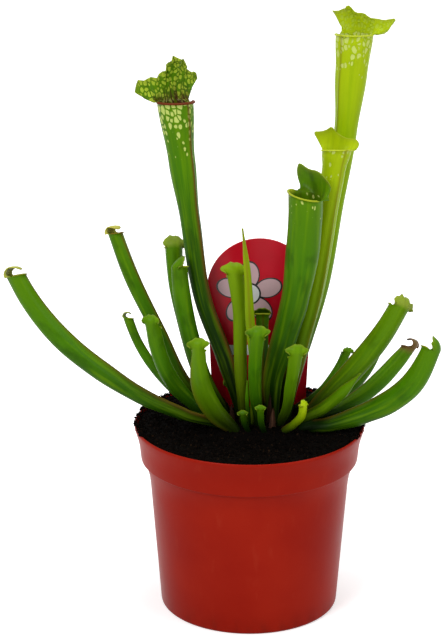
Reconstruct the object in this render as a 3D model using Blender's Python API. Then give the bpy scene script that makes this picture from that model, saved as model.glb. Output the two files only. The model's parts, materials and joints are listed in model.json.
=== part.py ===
"""A young trumpet pitcher plant in a 9 cm plastic nursery pot, with its plant label.

The plant is a clump: one rhizome lies in the peat, and every pitcher is a separate leaf that
stands on it. A pitcher is a hollow tube with a keel (the wing) down its front and a hood that
grows out of the back of its mouth. Unopened leaves are closed spikes.

Frame: +Z up, the origin at the centre of the pot's base, the viewer on the -Y side.
Lengths in the tables are millimetres; MM turns them into Blender's metres.
"""

import math

import bmesh
import bpy
from mathutils import Vector

MM = 0.001
GAP = 0.3  # clearance between pieces that touch

# Pot: outer profile as (radius, z), from the foot of the tapered body, out under the collar
# and up to the flared rim
POT_HEIGHT = 75.0
POT_RIM_R = 45.0
POT_WALL = 1.1
BASE_R = 34.8
POT_OUTSIDE = [(BASE_R - 1.6, 0.0), (BASE_R - 0.5, 0.6), (BASE_R, 1.9), (39.0, 53.5), (40.1, 55.6),
               (41.5, 58.2), (42.1, 60.4), (42.7, 64.5), (43.6, 70.5), (44.6, 73.6), (POT_RIM_R, 74.5)]
FLOOR_THICKNESS = 1.6
FOOT_RING_R = 30.5  # inner edge of the ring that the pot stands on
CENTRE_PAD_R = 17.0  # the flat pad inside the drainage channel
CHANNEL_DEPTH = 0.7
DRAIN_HOLES = 8
DRAIN_HOLE_R = 3.0
POT_SEGMENTS = 40

# Peat: level with the rim at the wall, a little lower around the crown
PEAT_EDGE_Z = 74.2
PEAT_MIDDLE_Z = 72.2
PEAT_SEGMENTS = 36
PEAT_RINGS = (40.0, 35.0, 29.0, 22.0, 14.0, 6.0)

# Rhizome: a flattened lump whose level top carries the leaves
CROWN_X = 5.5
CROWN_Y = 2.0
CROWN_HALF_X = 21.0
CROWN_HALF_Y = 15.5
CROWN_TOP_Z = 72.6
CROWN_BOTTOM_Z = 60.0
CROWN_SEGMENTS = 28

# Leaves
LEAF_SIDES = 10
HOOD_ARC = 2  # the hood takes this many sides of the tube, either way from its back
LEAF_WALL = 0.55
HOOD_THICKNESS = 0.7
LEAF_FOOT_Z = CROWN_TOP_Z + GAP

# Label: an arched plate on a spike, pushed into the peat behind the crown
LABEL_X = 4.0
LABEL_Y = 19.6
LABEL_HALF_WIDTH = 20.6
LABEL_SHOULDER_HALF_WIDTH = 18.6
LABEL_SHOULDER_Z = 74.5
LABEL_TOP_Z = 143.5
LABEL_THICKNESS = 0.6
LABEL_SPIKE_HALF_WIDTH = 6.0
LABEL_SPIKE_BOTTOM_Z = 38.0

# Hoods, in mouth radii: length, half width, lean at the neck and at the tip in degrees
# (0 follows the tube up, 90 lies over the mouth), how far the edges cup, and their ruffle.
SAIL = dict(length=2.7, half_width=1.8, lean=(-14, 42), cup=-0.2, ruffle=0.14)
LOW_SAIL = dict(length=2.4, half_width=1.8, lean=(-14, 62), cup=-0.2, ruffle=0.14)
SMALL_SAIL = dict(length=1.8, half_width=1.25, lean=(-18, 30), cup=0.1, ruffle=0.05)
LID = dict(length=2.3, half_width=1.6, lean=(5, 118), cup=0.42, ruffle=0.04)
STRAP = dict(length=2.9, half_width=0.72, lean=(-5, 175), cup=0.12, ruffle=0.0)

# Pitchers. The foot is (x, y, tube radius) on the rhizome's top. Each station is (x, y, z, tube
# radius) on the leaf's midline, the last one at the mouth. "front" is the compass angle, in
# degrees from +X, that the mouth and wing face, "wing" is the height of the keel, and "slope"
# lifts the back of the mouth above its front.
PITCHERS = {
    "pitcher_far_left": dict(
        foot=(-8.5, -5.0, 1.9), front=-8, wing=1.6, slope=0.3, hood=STRAP,
        stations=[(-27, -7, 81, 2.4), (-43.5, -9, 89.5, 3.0), (-58, -10, 100, 3.7),
                  (-72.5, -11, 113.5, 3.8), (-83.5, -12, 129, 3.7), (-88, -12, 138, 3.6)]),
    "pitcher_side_left": dict(
        foot=(-11.5, 9.5, 1.6), front=-12, wing=1.0, slope=0.1, hood=STRAP,
        stations=[(-26.5, 13, 88, 2.6), (-36, 19, 106, 2.8), (-47.5, 26, 129, 3.0), (-52.5, 29, 142.5, 2.9)]),
    "pitcher_small_left": dict(
        foot=(-13.5, 4.8, 1.4), front=-10, wing=0.6, slope=0.2, hood=STRAP,
        stations=[(-25, 8, 80.5, 1.7), (-35, 13, 89, 1.8), (-44.5, 18, 102.5, 1.7), (-47.5, 20, 110.5, 1.9)]),
    "pitcher_front_left": dict(
        foot=(-12.5, 0.0, 1.9), front=35, wing=1.0, slope=0.2, hood=LID,
        stations=[(-22, -0.5, 82.5, 2.5), (-31, -4, 95, 3.1), (-35.5, -7, 108.5, 3.1), (-37, -9, 117, 2.8)]),
    "pitcher_upright_back": dict(
        foot=(-8, 13, 1.6), front=-70, wing=0.8, slope=0.2, hood=LID,
        stations=[(-17.5, 16, 84.5, 2.5), (-25.5, 20, 110, 3.0), (-29, 23, 127.5, 3.2), (-29.5, 24, 138, 3.5)]),
    "pitcher_upright_front": dict(
        foot=(-8.5, 3.5, 1.6), front=-60, wing=1.0, slope=0.1, hood=LID,
        stations=[(-18, 4.5, 90, 2.9), (-23, 5, 107, 3.2), (-26, 5.5, 122.5, 3.3), (-27, 6, 136, 3.1)]),
    "pitcher_short_left": dict(
        foot=(-4.5, -8.8, 1.7), front=80, wing=1.0, slope=0.1, hood=LID,
        stations=[(-12.5, -11, 83.5, 2.7), (-17, -14, 93, 2.9), (-19.5, -19, 111, 2.6)]),
    "pitcher_tall_left": dict(
        foot=(-3, 8, 2.0), front=-65, wing=1.3, slope=0.12, hood=SAIL,
        stations=[(-9.5, 10, 97, 3.4), (-18, 12, 121, 3.4), (-23, 14, 153, 3.8),
                  (-26, 15, 176, 5.2), (-28.5, 15, 198.5, 7.0)]),
    "pitcher_centre_left": dict(
        foot=(-2.5, 2, 1.6), front=95, wing=0.9, slope=0.1, hood=LID,
        stations=[(-3.5, 2.5, 97, 2.5), (-4, 0.5, 120, 2.6), (-5.5, -1, 134.5, 3.2)]),
    "pitcher_back_centre": dict(
        foot=(4.5, 9.5, 1.5), front=-85, wing=0.7, slope=0.1, hood=LID,
        stations=[(5, 10, 96.5, 2.3), (5, 10, 109, 2.4), (5, 10, 115.5, 2.7)]),
    "pitcher_front_centre": dict(
        foot=(4, -5.5, 1.7), front=85, wing=0.9, slope=0.1, hood=LID,
        stations=[(2, -11, 92, 2.4), (2, -15, 106, 2.6), (2.5, -18, 115, 2.8)]),
    "pitcher_front_tiny": dict(
        foot=(6, -11, 1.0), front=90, wing=0.3, slope=0.1, hood=LID,
        stations=[(4.5, -14, 79, 1.15), (4, -16.5, 85.5, 1.3)]),
    "pitcher_tiny_left": dict(
        foot=(0.2, -10.3, 0.9), front=80, wing=0.2, slope=0.1, hood=LID,
        stations=[(-1.8, -11.5, 78, 1.1), (-2.5, -13, 82, 1.3)]),
    "pitcher_tiny_back": dict(
        foot=(0, 14.5, 1.0), front=-20, wing=0.2, slope=0.1, hood=LID,
        stations=[(-5, 15.5, 80, 1.2), (-8, 16, 84, 1.4)]),
    "pitcher_wide_front": dict(
        foot=(9.5, 2.5, 2.0), front=225, wing=1.5, slope=-0.15, hood=SMALL_SAIL,
        stations=[(9.5, 0, 92, 3.3), (13.5, -3, 109.5, 4.3), (17.5, -6, 126.5, 4.9),
                  (20, -10, 149.5, 6.2), (20.5, -12, 169.5, 6.4)]),
    "pitcher_yellow": dict(
        foot=(14.5, 4.5, 1.8), front=258, wing=1.0, slope=0.1, hood=SAIL,
        stations=[(20, 3.5, 105, 3.1), (25, 3, 128, 3.5), (29, 2.5, 155.5, 3.7),
                  (31.5, 2, 176, 4.5), (32.5, 2, 183, 5.5)]),
    "pitcher_tall_right": dict(
        foot=(11, 10.5, 1.8), front=245, wing=1.2, slope=0.12, hood=LOW_SAIL,
        stations=[(21, 12.5, 103.5, 3.5), (27.5, 14.5, 128, 3.8), (32, 17, 155.5, 3.8),
                  (36.5, 19, 186.5, 4.5), (38.5, 20, 209.5, 6.2), (39.5, 20, 223.5, 7.1)]),
    "pitcher_short_right": dict(
        foot=(11, -3.5, 1.7), front=95, wing=0.8, slope=0.1, hood=LID,
        stations=[(14, -9, 83, 1.9), (15.5, -16, 96, 2.2), (17, -21, 109, 2.6)]),
    "pitcher_yellow_tiny": dict(
        foot=(12.5, -9, 1.3), front=140, wing=0.3, slope=0.1, hood=LID,
        stations=[(17, -14, 79, 1.4), (20, -17, 84.5, 1.5), (20.2, -17.3, 88, 1.6)]),
    "pitcher_long_right": dict(
        foot=(21.5, 0.8, 1.9), front=180, wing=1.5, slope=0.3, hood=LID,
        stations=[(28.5, 0, 82.5, 2.9), (37.5, -1, 92.5, 3.6), (53, -5, 116, 3.9), (56.5, -6, 123.5, 4.0)]),
    "pitcher_small_back_right": dict(
        foot=(18.5, 12, 1.2), front=190, wing=0.4, slope=0.1, hood=LID,
        stations=[(31, 17, 84, 1.7), (36.5, 21, 91.5, 1.7), (38.5, 22, 95.5, 1.9)]),
    "pitcher_dark_right": dict(
        foot=(24, 4.5, 1.7), front=185, wing=0.9, slope=0.2, hood=STRAP,
        stations=[(36, 9, 76.8, 2.3), (45, 12, 81, 2.9), (52, 15, 86.5, 3.1),
                  (58.5, 18, 93, 3.0), (63, 20, 98.5, 2.7)]),
    "pitcher_hidden_right": dict(
        foot=(21, 9.5, 1.6), front=185, wing=0.7, slope=0.2, hood=LID,
        stations=[(35.5, 17, 78, 2.3), (42, 22, 82.5, 2.7), (47, 26, 88, 2.8), (50.5, 28, 95.5, 2.8)]),
    "pitcher_far_right": dict(
        foot=(19.5, -6.2, 1.8), front=172, wing=1.7, slope=0.35, hood=LID,
        stations=[(31, -10, 76.8, 2.2), (43.5, -13, 82, 3.1), (53.5, -15, 88, 3.8),
                  (61.5, -17, 96, 4.0), (68, -19, 111, 3.7)]),
}

# Leaves that have not opened: closed spikes, described in the same way
SPIKES = {
    "unopened_leaf_centre": dict(
        foot=(1.5, -1.5, 1.2), front=90, wing=0.5,
        stations=[(1.5, -3, 101.5, 1.7), (0, -5, 118.5, 1.8), (-1, -7, 137, 1.4), (-3, -9, 156, 0.35)]),
    "unopened_leaf_front": dict(
        foot=(0, -5, 0.8), front=90, wing=0.2,
        stations=[(-1, -10, 87.5, 0.8), (-1, -11.5, 96, 0.3)]),
    "unopened_leaf_right": dict(
        foot=(16.5, -2.5, 1.6), front=150, wing=0.8,
        stations=[(29, -7, 83, 2.0), (35, -9.5, 89.5, 2.0), (42, -14, 100, 0.35)]),
    "unopened_leaf_back_right": dict(
        foot=(16, 14.5, 0.9), front=190, wing=0.2,
        stations=[(21.5, 16, 76.5, 1.2), (25.5, 17, 79.5, 0.35)]),
}

# Withered bases of last year's leaves: foot x, foot y, tip x, tip y, height, half width
OLD_LEAF_BASES = {
    "old_leaf_base_1": (8.7, -7.6, 9.0, -9.0, 11.0, 1.5),
    "old_leaf_base_2": (7.5, -1.5, 8.4, -4.6, 15.0, 1.3),
    "old_leaf_base_3": (-6.5, -0.5, -7.8, 0.6, 9.0, 1.3),
}


def clear_scene():
    for obj in list(bpy.data.objects):
        bpy.data.objects.remove(obj)


def material(name, colour, roughness, metallic=0.0):
    made = bpy.data.materials.new(name)
    made.use_nodes = True
    shader = made.node_tree.nodes["Principled BSDF"]
    shader.inputs["Base Color"].default_value = (*colour, 1.0)
    shader.inputs["Roughness"].default_value = roughness
    shader.inputs["Metallic"].default_value = metallic
    made.diffuse_color = (*colour, 1.0)
    return made


def mesh_object(name, points_mm, faces, finish=None):
    """An object from points in millimetres, with its faces turned outwards."""
    mesh = bpy.data.meshes.new(name)
    mesh.from_pydata([tuple(c * MM for c in p) for p in points_mm], [], faces)
    work = bmesh.new()
    work.from_mesh(mesh)
    bmesh.ops.recalc_face_normals(work, faces=work.faces)
    work.to_mesh(mesh)
    work.free()
    mesh.shade_smooth()
    mesh.set_sharp_from_angle(angle=math.radians(40))
    obj = bpy.data.objects.new(name, mesh)
    bpy.context.scene.collection.objects.link(obj)
    if finish:
        mesh.materials.append(finish)
    return obj


def as_cutter(obj):
    obj.hide_render = True
    obj.display_type = "WIRE"
    return obj


def cut(obj, cutter):
    boolean = obj.modifiers.new("cut_" + cutter.name, "BOOLEAN")
    boolean.operation = "DIFFERENCE"
    boolean.object = cutter


def turned(name, profile, segments, finish=None, squash=(1.0, 1.0), centre=(0.0, 0.0)):
    """A closed solid turned about the vertical from (radius, z) points, top and bottom on the axis."""
    points, faces, rows = [], [], []
    for radius, z in profile:
        if radius == 0:
            rows.append([len(points)])
            points.append((centre[0], centre[1], z))
            continue
        rows.append(list(range(len(points), len(points) + segments)))
        for k in range(segments):
            angle = 2 * math.pi * k / segments
            points.append((centre[0] + radius * squash[0] * math.cos(angle),
                           centre[1] + radius * squash[1] * math.sin(angle), z))
    for low, high in zip(rows, rows[1:]):
        for k in range(segments):
            corners = [low[k % len(low)], low[(k + 1) % len(low)],
                       high[(k + 1) % len(high)], high[k % len(high)]]
            faces.append(list(dict.fromkeys(corners)))
    return mesh_object(name, points, faces, finish)


# ---------------------------------------------------------------- pot

def pot_inner_radius(z):
    """Inside radius of the pot's wall at height z."""
    for (low_r, low_z), (high_r, high_z) in zip(POT_OUTSIDE, POT_OUTSIDE[1:]):
        if z <= high_z:
            break
    return low_r + (z - low_z) / (high_z - low_z) * (high_r - low_r) - POT_WALL


def build_pot(finish):
    underside = [(0, 0), (CENTRE_PAD_R, 0), (CENTRE_PAD_R + 0.8, CHANNEL_DEPTH),
                 (FOOT_RING_R - 0.8, CHANNEL_DEPTH), (FOOT_RING_R, 0)]
    rim = [(POT_RIM_R - POT_WALL / 2, POT_HEIGHT), (POT_RIM_R - POT_WALL, POT_HEIGHT - 0.5)]
    inside = [(pot_inner_radius(z), z) for r, z in reversed(POT_OUTSIDE) if 2.0 < z < 74.0]
    floor = [(pot_inner_radius(2.6), FLOOR_THICKNESS), (0, FLOOR_THICKNESS)]
    pot = turned("pot", underside + POT_OUTSIDE + rim + inside + floor, POT_SEGMENTS, finish)
    hole_ring = (CENTRE_PAD_R + FOOT_RING_R) / 2
    for k in range(DRAIN_HOLES):
        angle = 2 * math.pi * (k + 0.5) / DRAIN_HOLES
        spot = (hole_ring * math.cos(angle), hole_ring * math.sin(angle))
        hole = [(0, -1), (DRAIN_HOLE_R, -1), (DRAIN_HOLE_R, FLOOR_THICKNESS + 1), (0, FLOOR_THICKNESS + 1)]
        cut(pot, as_cutter(turned(f"drain_cutter_{k}", hole, 12, centre=spot)))


# ---------------------------------------------------------------- peat and rhizome

def crown_profile(grow=0.0):
    """The rhizome's profile as shares of its half widths, and heights, grown outwards by grow."""
    middle = (CROWN_TOP_Z + CROWN_BOTTOM_Z) / 2
    return [(0, CROWN_BOTTOM_Z - grow), (0.62, CROWN_BOTTOM_Z - grow), (0.9, middle - 3),
            (1.0, middle), (0.97, CROWN_TOP_Z - 1.6), (0.9, CROWN_TOP_Z + grow), (0, CROWN_TOP_Z + grow)]


def build_rhizome(finish, name="rhizome", grow=0.0):
    return turned(name, crown_profile(grow), CROWN_SEGMENTS, finish,
                  squash=(CROWN_HALF_X + grow, CROWN_HALF_Y + grow), centre=(CROWN_X, CROWN_Y))


def peat_height(x, y):
    """Height of the peat's uneven top: lowest around the crown, up to the rim at the wall."""
    out = min(max((math.hypot(x, y) - 22) / 20, 0.0), 1.0)
    lumps = 0.3 * math.sin(0.35 * x + 1.3) * math.cos(0.29 * y) + 0.2 * math.sin(0.6 * y + 0.22 * x)
    return PEAT_MIDDLE_Z + (PEAT_EDGE_Z - PEAT_MIDDLE_Z) * out * out * (3 - 2 * out) + lumps * (1 - out)


def build_peat(finish):
    """The root ball: it fills the pot, and the rhizome lies in a hollow in its top."""
    floor_z = FLOOR_THICKNESS + GAP
    levels = [z for r, z in POT_OUTSIDE if 2.0 < z < 72.0] + [PEAT_EDGE_Z]
    points, rows = [(0, 0, floor_z)], [[0]]

    def ring(radius, height):
        rows.append(list(range(len(points), len(points) + PEAT_SEGMENTS)))
        for k in range(PEAT_SEGMENTS):
            angle = 2 * math.pi * k / PEAT_SEGMENTS
            x, y = radius * math.cos(angle), radius * math.sin(angle)
            points.append((x, y, height(x, y)))

    ring(pot_inner_radius(2.6) - GAP, lambda x, y: floor_z)
    for z in levels:
        ring(pot_inner_radius(z) - GAP, lambda x, y, z=z: z)
    for radius in PEAT_RINGS:
        ring(radius, peat_height)
    rows.append([len(points)])
    points.append((0, 0, peat_height(0, 0)))
    faces = []
    for low, high in zip(rows, rows[1:]):
        for k in range(PEAT_SEGMENTS):
            corners = [low[k % len(low)], low[(k + 1) % len(low)],
                       high[(k + 1) % len(high)], high[k % len(high)]]
            faces.append(list(dict.fromkeys(corners)))
    peat = mesh_object("peat", points, faces, finish)
    cut(peat, as_cutter(build_rhizome(None, "rhizome_cutter", GAP)))
    return peat


# ---------------------------------------------------------------- leaves

def midline(foot, stations, rows):
    """Points, directions and radii along a smooth curve that leaves the foot half upright."""
    knots = [Vector((foot[0], foot[1], LEAF_FOOT_Z))] + [Vector(s[:3]) for s in stations]
    radii = [foot[2]] + [s[3] for s in stations]
    lengths = [(b - a).length for a, b in zip(knots, knots[1:])]
    slopes = [((knots[1] - knots[0]) / lengths[0] + Vector((0, 0, 1))) / 2]
    for k in range(1, len(knots) - 1):
        before = (knots[k] - knots[k - 1]) / lengths[k - 1]
        after = (knots[k + 1] - knots[k]) / lengths[k]
        slopes.append((before * lengths[k] + after * lengths[k - 1]) / (lengths[k] + lengths[k - 1]))
    slopes.append((knots[-1] - knots[-2]) / lengths[-1] * 1.5 - slopes[-1] * 0.5)
    total = sum(lengths)
    result = []
    for row in range(rows + 1):
        along = total * row / rows
        k = 0
        while k < len(lengths) - 1 and along > lengths[k]:
            along -= lengths[k]
            k += 1
        u, span = min(along / lengths[k], 1.0), lengths[k]
        point = (knots[k] * (2 * u**3 - 3 * u**2 + 1) + slopes[k] * span * (u**3 - 2 * u**2 + u)
                 + knots[k + 1] * (3 * u**2 - 2 * u**3) + slopes[k + 1] * span * (u**3 - u**2))
        heading = (knots[k] * (6 * u**2 - 6 * u) + slopes[k] * span * (3 * u**2 - 4 * u + 1)
                   + knots[k + 1] * (6 * u - 6 * u**2) + slopes[k + 1] * span * (3 * u**2 - 2 * u))
        ease = u * u * (3 - 2 * u)
        result.append((point, heading.normalized(), radii[k] * (1 - ease) + radii[k + 1] * ease))
    result[0] = (knots[0], Vector((0, 0, 1)), radii[0])
    return result


def frame_at(heading, front_degrees):
    """The leaf's front and side directions, square to its heading."""
    compass = math.radians(front_degrees)
    flat = Vector((math.cos(compass), math.sin(compass), 0))
    front = (flat - heading * flat.dot(heading)).normalized()
    return front, heading.cross(front)


def wing_height(share, wing):
    """The keel rises from the foot, is highest low down and dies out below the mouth."""
    return wing * math.sin(math.pi * min(1.0, share / 0.97) ** 0.75) ** 0.8 if share < 0.97 else 0.0


def tube_ring(leaf, share, point, heading, radius, wall):
    """One ring of the tube. wall is how far inside the outer skin it lies."""
    front, side = frame_at(heading, leaf["front"])
    tip = leaf.get("slope", 0.0) * max(0.0, (share - 0.8) / 0.2)
    ring = []
    for k in range(LEAF_SIDES):
        angle = 2 * math.pi * k / LEAF_SIDES
        reach = radius - wall
        if k == 0 and wall == 0:
            reach += wing_height(share, leaf["wing"])
        offset = (front * math.cos(angle) + side * math.sin(angle)) * reach
        ring.append(point + offset - heading * tip * radius * math.cos(angle))
    return ring


def hood_half_width(t, neck, widest):
    """Half width along the hood: out from the neck, full at 0.42, then in to a small point."""
    if t < 0.42:
        swell = t / 0.42
        return neck + (widest - neck) * swell * swell * (3 - 2 * swell)
    return widest * max(1 - ((t - 0.42) / 0.58) ** 1.4, 0.08)


def hood_rows(leaf, point, heading, radius, rows, inside):
    """Rows of the hood from the back of the mouth to its tip, on its outer or its inner face."""
    front, side = frame_at(heading, leaf["front"])
    hood = leaf["hood"]
    length = hood["length"] * radius
    half_arc = math.pi * 2 * HOOD_ARC / LEAF_SIDES
    lean_from, lean_to = (math.radians(d) for d in hood["lean"])
    rise = heading * leaf.get("slope", 0.0) * radius
    spine = point - front * radius + rise
    made = []
    previous = 0.0
    for row in range(1, rows + 1):
        t = row / rows
        lean = lean_from + (lean_to - lean_from) * ((previous + t) / 2)
        spine = spine + (front * math.sin(lean) + heading * math.cos(lean)) * length * (t - previous)
        previous = t
        lean = lean_from + (lean_to - lean_from) * t
        normal = front * math.cos(lean) - heading * math.sin(lean)
        half_width = hood_half_width(t, radius * math.sin(half_arc), hood["half_width"] * radius)
        blend = min(1.0, t / 0.5)
        line = []
        for column in range(-HOOD_ARC, HOOD_ARC + 1):
            s = column / HOOD_ARC
            sideways = half_width * s
            arc = radius * (1 - math.cos(half_arc * s)) * (1 - blend)
            cup = hood["cup"] * half_width * s * s * blend
            ripple = hood["ruffle"] * half_width * abs(s) ** 3 * math.sin(9 * t + 2 * s) * blend
            depth = arc + cup + ripple + (HOOD_THICKNESS if inside else 0.0)
            line.append(spine - side * sideways + normal * depth)
        made.append(line)
    return made


def bridge(faces, low, high, closed=True):
    count = len(low) if closed else len(low) - 1
    for k in range(count):
        j = (k + 1) % len(low)
        faces.append([low[k], low[j], high[j], high[k]])


def build_pitcher(name, leaf, finish):
    """A hollow tube with a foot, a keel, an open mouth and a hood, as one closed solid."""
    mouth_radius = leaf["stations"][-1][3]
    rows = (4 if mouth_radius < 2 else 3) + len(leaf["stations"]) + (2 if mouth_radius > 3.4 else 0)
    line = midline(leaf["foot"], leaf["stations"], rows)
    points, faces = [], []

    def add(ring):
        start = len(points)
        points.extend(ring)
        return list(range(start, start + len(ring)))

    outer = [add(tube_ring(leaf, k / rows, *line[k], 0.0)) for k in range(rows + 1)]
    wall = min(LEAF_WALL, 0.3 * line[-1][2])
    deepest = max(2, math.ceil(rows * 0.35))
    inner = [add(tube_ring(leaf, k / rows, *line[k], wall)) for k in range(rows, deepest - 1, -1)]
    faces.append(outer[0][::-1])
    faces.append(inner[-1])
    for low, high in zip(outer, outer[1:]):
        bridge(faces, low, high)
    for low, high in zip(inner, inner[1:]):
        bridge(faces, low, high)

    back = LEAF_SIDES // 2
    arc = range(back - HOOD_ARC, back + HOOD_ARC + 1)
    for k in range(LEAF_SIDES):
        j = (k + 1) % LEAF_SIDES
        if not (k in arc and j in arc):
            faces.append([outer[-1][k], outer[-1][j], inner[0][j], inner[0][k]])
    steps = 5 if mouth_radius > 5 else 3 if mouth_radius < 2 else 4
    point, heading, radius = line[-1]
    shell = [[outer[-1][k] for k in arc]]
    lining = [[inner[0][k] for k in arc]]
    for outside, inside in zip(hood_rows(leaf, point, heading, radius, steps, False),
                               hood_rows(leaf, point, heading, radius, steps, True)):
        shell.append(add(outside))
        lining.append(add(inside))
    for rows_of_hood in (shell, lining):
        for low, high in zip(rows_of_hood, rows_of_hood[1:]):
            bridge(faces, low, high, closed=False)
    for low, high, under, over in zip(shell, shell[1:], lining, lining[1:]):
        faces.append([low[0], high[0], over[0], under[0]])
        faces.append([low[-1], high[-1], over[-1], under[-1]])
    bridge(faces, shell[-1], lining[-1], closed=False)
    return mesh_object(name, [tuple(p) for p in points], faces, finish)


def build_spike(name, leaf, finish):
    """A leaf that has not opened: a closed, tapering, keeled spindle."""
    rows = 2 + 2 * len(leaf["stations"])
    line = midline(leaf["foot"], leaf["stations"], rows)
    points, faces, rings = [], [], []
    for k, (point, heading, radius) in enumerate(line):
        start = len(points)
        points.extend(tube_ring(leaf, k / rows, point, heading, radius, 0.0))
        rings.append(list(range(start, start + LEAF_SIDES)))
    faces.append(rings[0][::-1])
    faces.append(rings[-1])
    for low, high in zip(rings, rings[1:]):
        bridge(faces, low, high)
    return mesh_object(name, [tuple(p) for p in points], faces, finish)


def build_old_leaf_base(name, size, finish):
    """A withered scale: a thin, folded, pointed strip standing on the rhizome."""
    foot_x, foot_y, tip_x, tip_y, height, half_width = size
    thickness = 0.5
    fold = 0.5
    points, faces, rings = [], [], []
    for k in range(4):
        share = k / 3
        x = foot_x + (tip_x - foot_x) * share**1.5
        y = foot_y + (tip_y - foot_y) * share**1.5
        width = half_width * (1 - 0.85 * share)
        z = LEAF_FOOT_Z + height * share
        section = [(-width, fold), (0, 0), (width, fold),
                   (width, fold + thickness), (0, thickness), (-width, fold + thickness)]
        rings.append(list(range(len(points), len(points) + len(section))))
        points.extend((x + across, y + deep, z) for across, deep in section)
    faces.append(rings[0][::-1])
    faces.append(rings[-1])
    for low, high in zip(rings, rings[1:]):
        bridge(faces, low, high)
    return mesh_object(name, points, faces, finish)


# ---------------------------------------------------------------- label

def label_outline(grow=0.0):
    """The label's outline in (x from its centre, z), anticlockwise from the spike's tip."""
    arch_z = LABEL_TOP_Z - LABEL_HALF_WIDTH
    right = [(LABEL_SPIKE_HALF_WIDTH, LABEL_SPIKE_BOTTOM_Z + 14), (LABEL_SPIKE_HALF_WIDTH, LABEL_SHOULDER_Z - 2),
             (LABEL_SHOULDER_HALF_WIDTH - 3, LABEL_SHOULDER_Z - 0.5), (LABEL_SHOULDER_HALF_WIDTH, LABEL_SHOULDER_Z + 2.5)]
    arch = [(LABEL_HALF_WIDTH * math.cos(a), arch_z + LABEL_HALF_WIDTH * math.sin(a))
            for a in (math.pi * k / 16 for k in range(17))]
    left = [(-x, z) for x, z in reversed(right)]
    grown = [(x + math.copysign(grow, x), z) for x, z in right + arch + left]
    return [(0.0, LABEL_SPIKE_BOTTOM_Z - 2 * grow)] + grown


def build_label(finish, name="label", grow=0.0):
    half = LABEL_THICKNESS / 2 + grow
    outline = label_outline(grow)
    count = len(outline)
    points = [(LABEL_X + x, LABEL_Y + y, z) for y in (-half, half) for x, z in outline]
    faces = [list(range(count)), list(range(2 * count - 1, count - 1, -1))]
    for k in range(count):
        j = (k + 1) % count
        faces.append([k, k + count, j + count, j])
    return mesh_object(name, points, faces, finish)


def build():
    clear_scene()
    terracotta = material("terracotta_plastic", (0.50, 0.05, 0.02), 0.45)
    peat_brown = material("peat", (0.012, 0.008, 0.006), 0.95)
    rhizome_brown = material("rhizome", (0.09, 0.045, 0.02), 0.8)
    leaf_green = material("leaf_green", (0.10, 0.27, 0.01), 0.4)
    leaf_lime = material("leaf_lime", (0.38, 0.50, 0.02), 0.4)
    withered = material("withered_leaf", (0.16, 0.07, 0.03), 0.85)
    label_red = material("label_red", (0.55, 0.01, 0.02), 0.35)

    build_pot(terracotta)
    peat = build_peat(peat_brown)
    build_rhizome(rhizome_brown)
    build_label(label_red)
    cut(peat, as_cutter(build_label(None, "label_cutter", GAP)))
    limes = ("pitcher_tall_right", "pitcher_yellow", "pitcher_yellow_tiny", "unopened_leaf_centre")
    for name, leaf in PITCHERS.items():
        build_pitcher(name, leaf, leaf_lime if name in limes else leaf_green)
    for name, leaf in SPIKES.items():
        build_spike(name, leaf, leaf_lime if name in limes else leaf_green)
    for name, size in OLD_LEAF_BASES.items():
        build_old_leaf_base(name, size, withered)


build()
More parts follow.
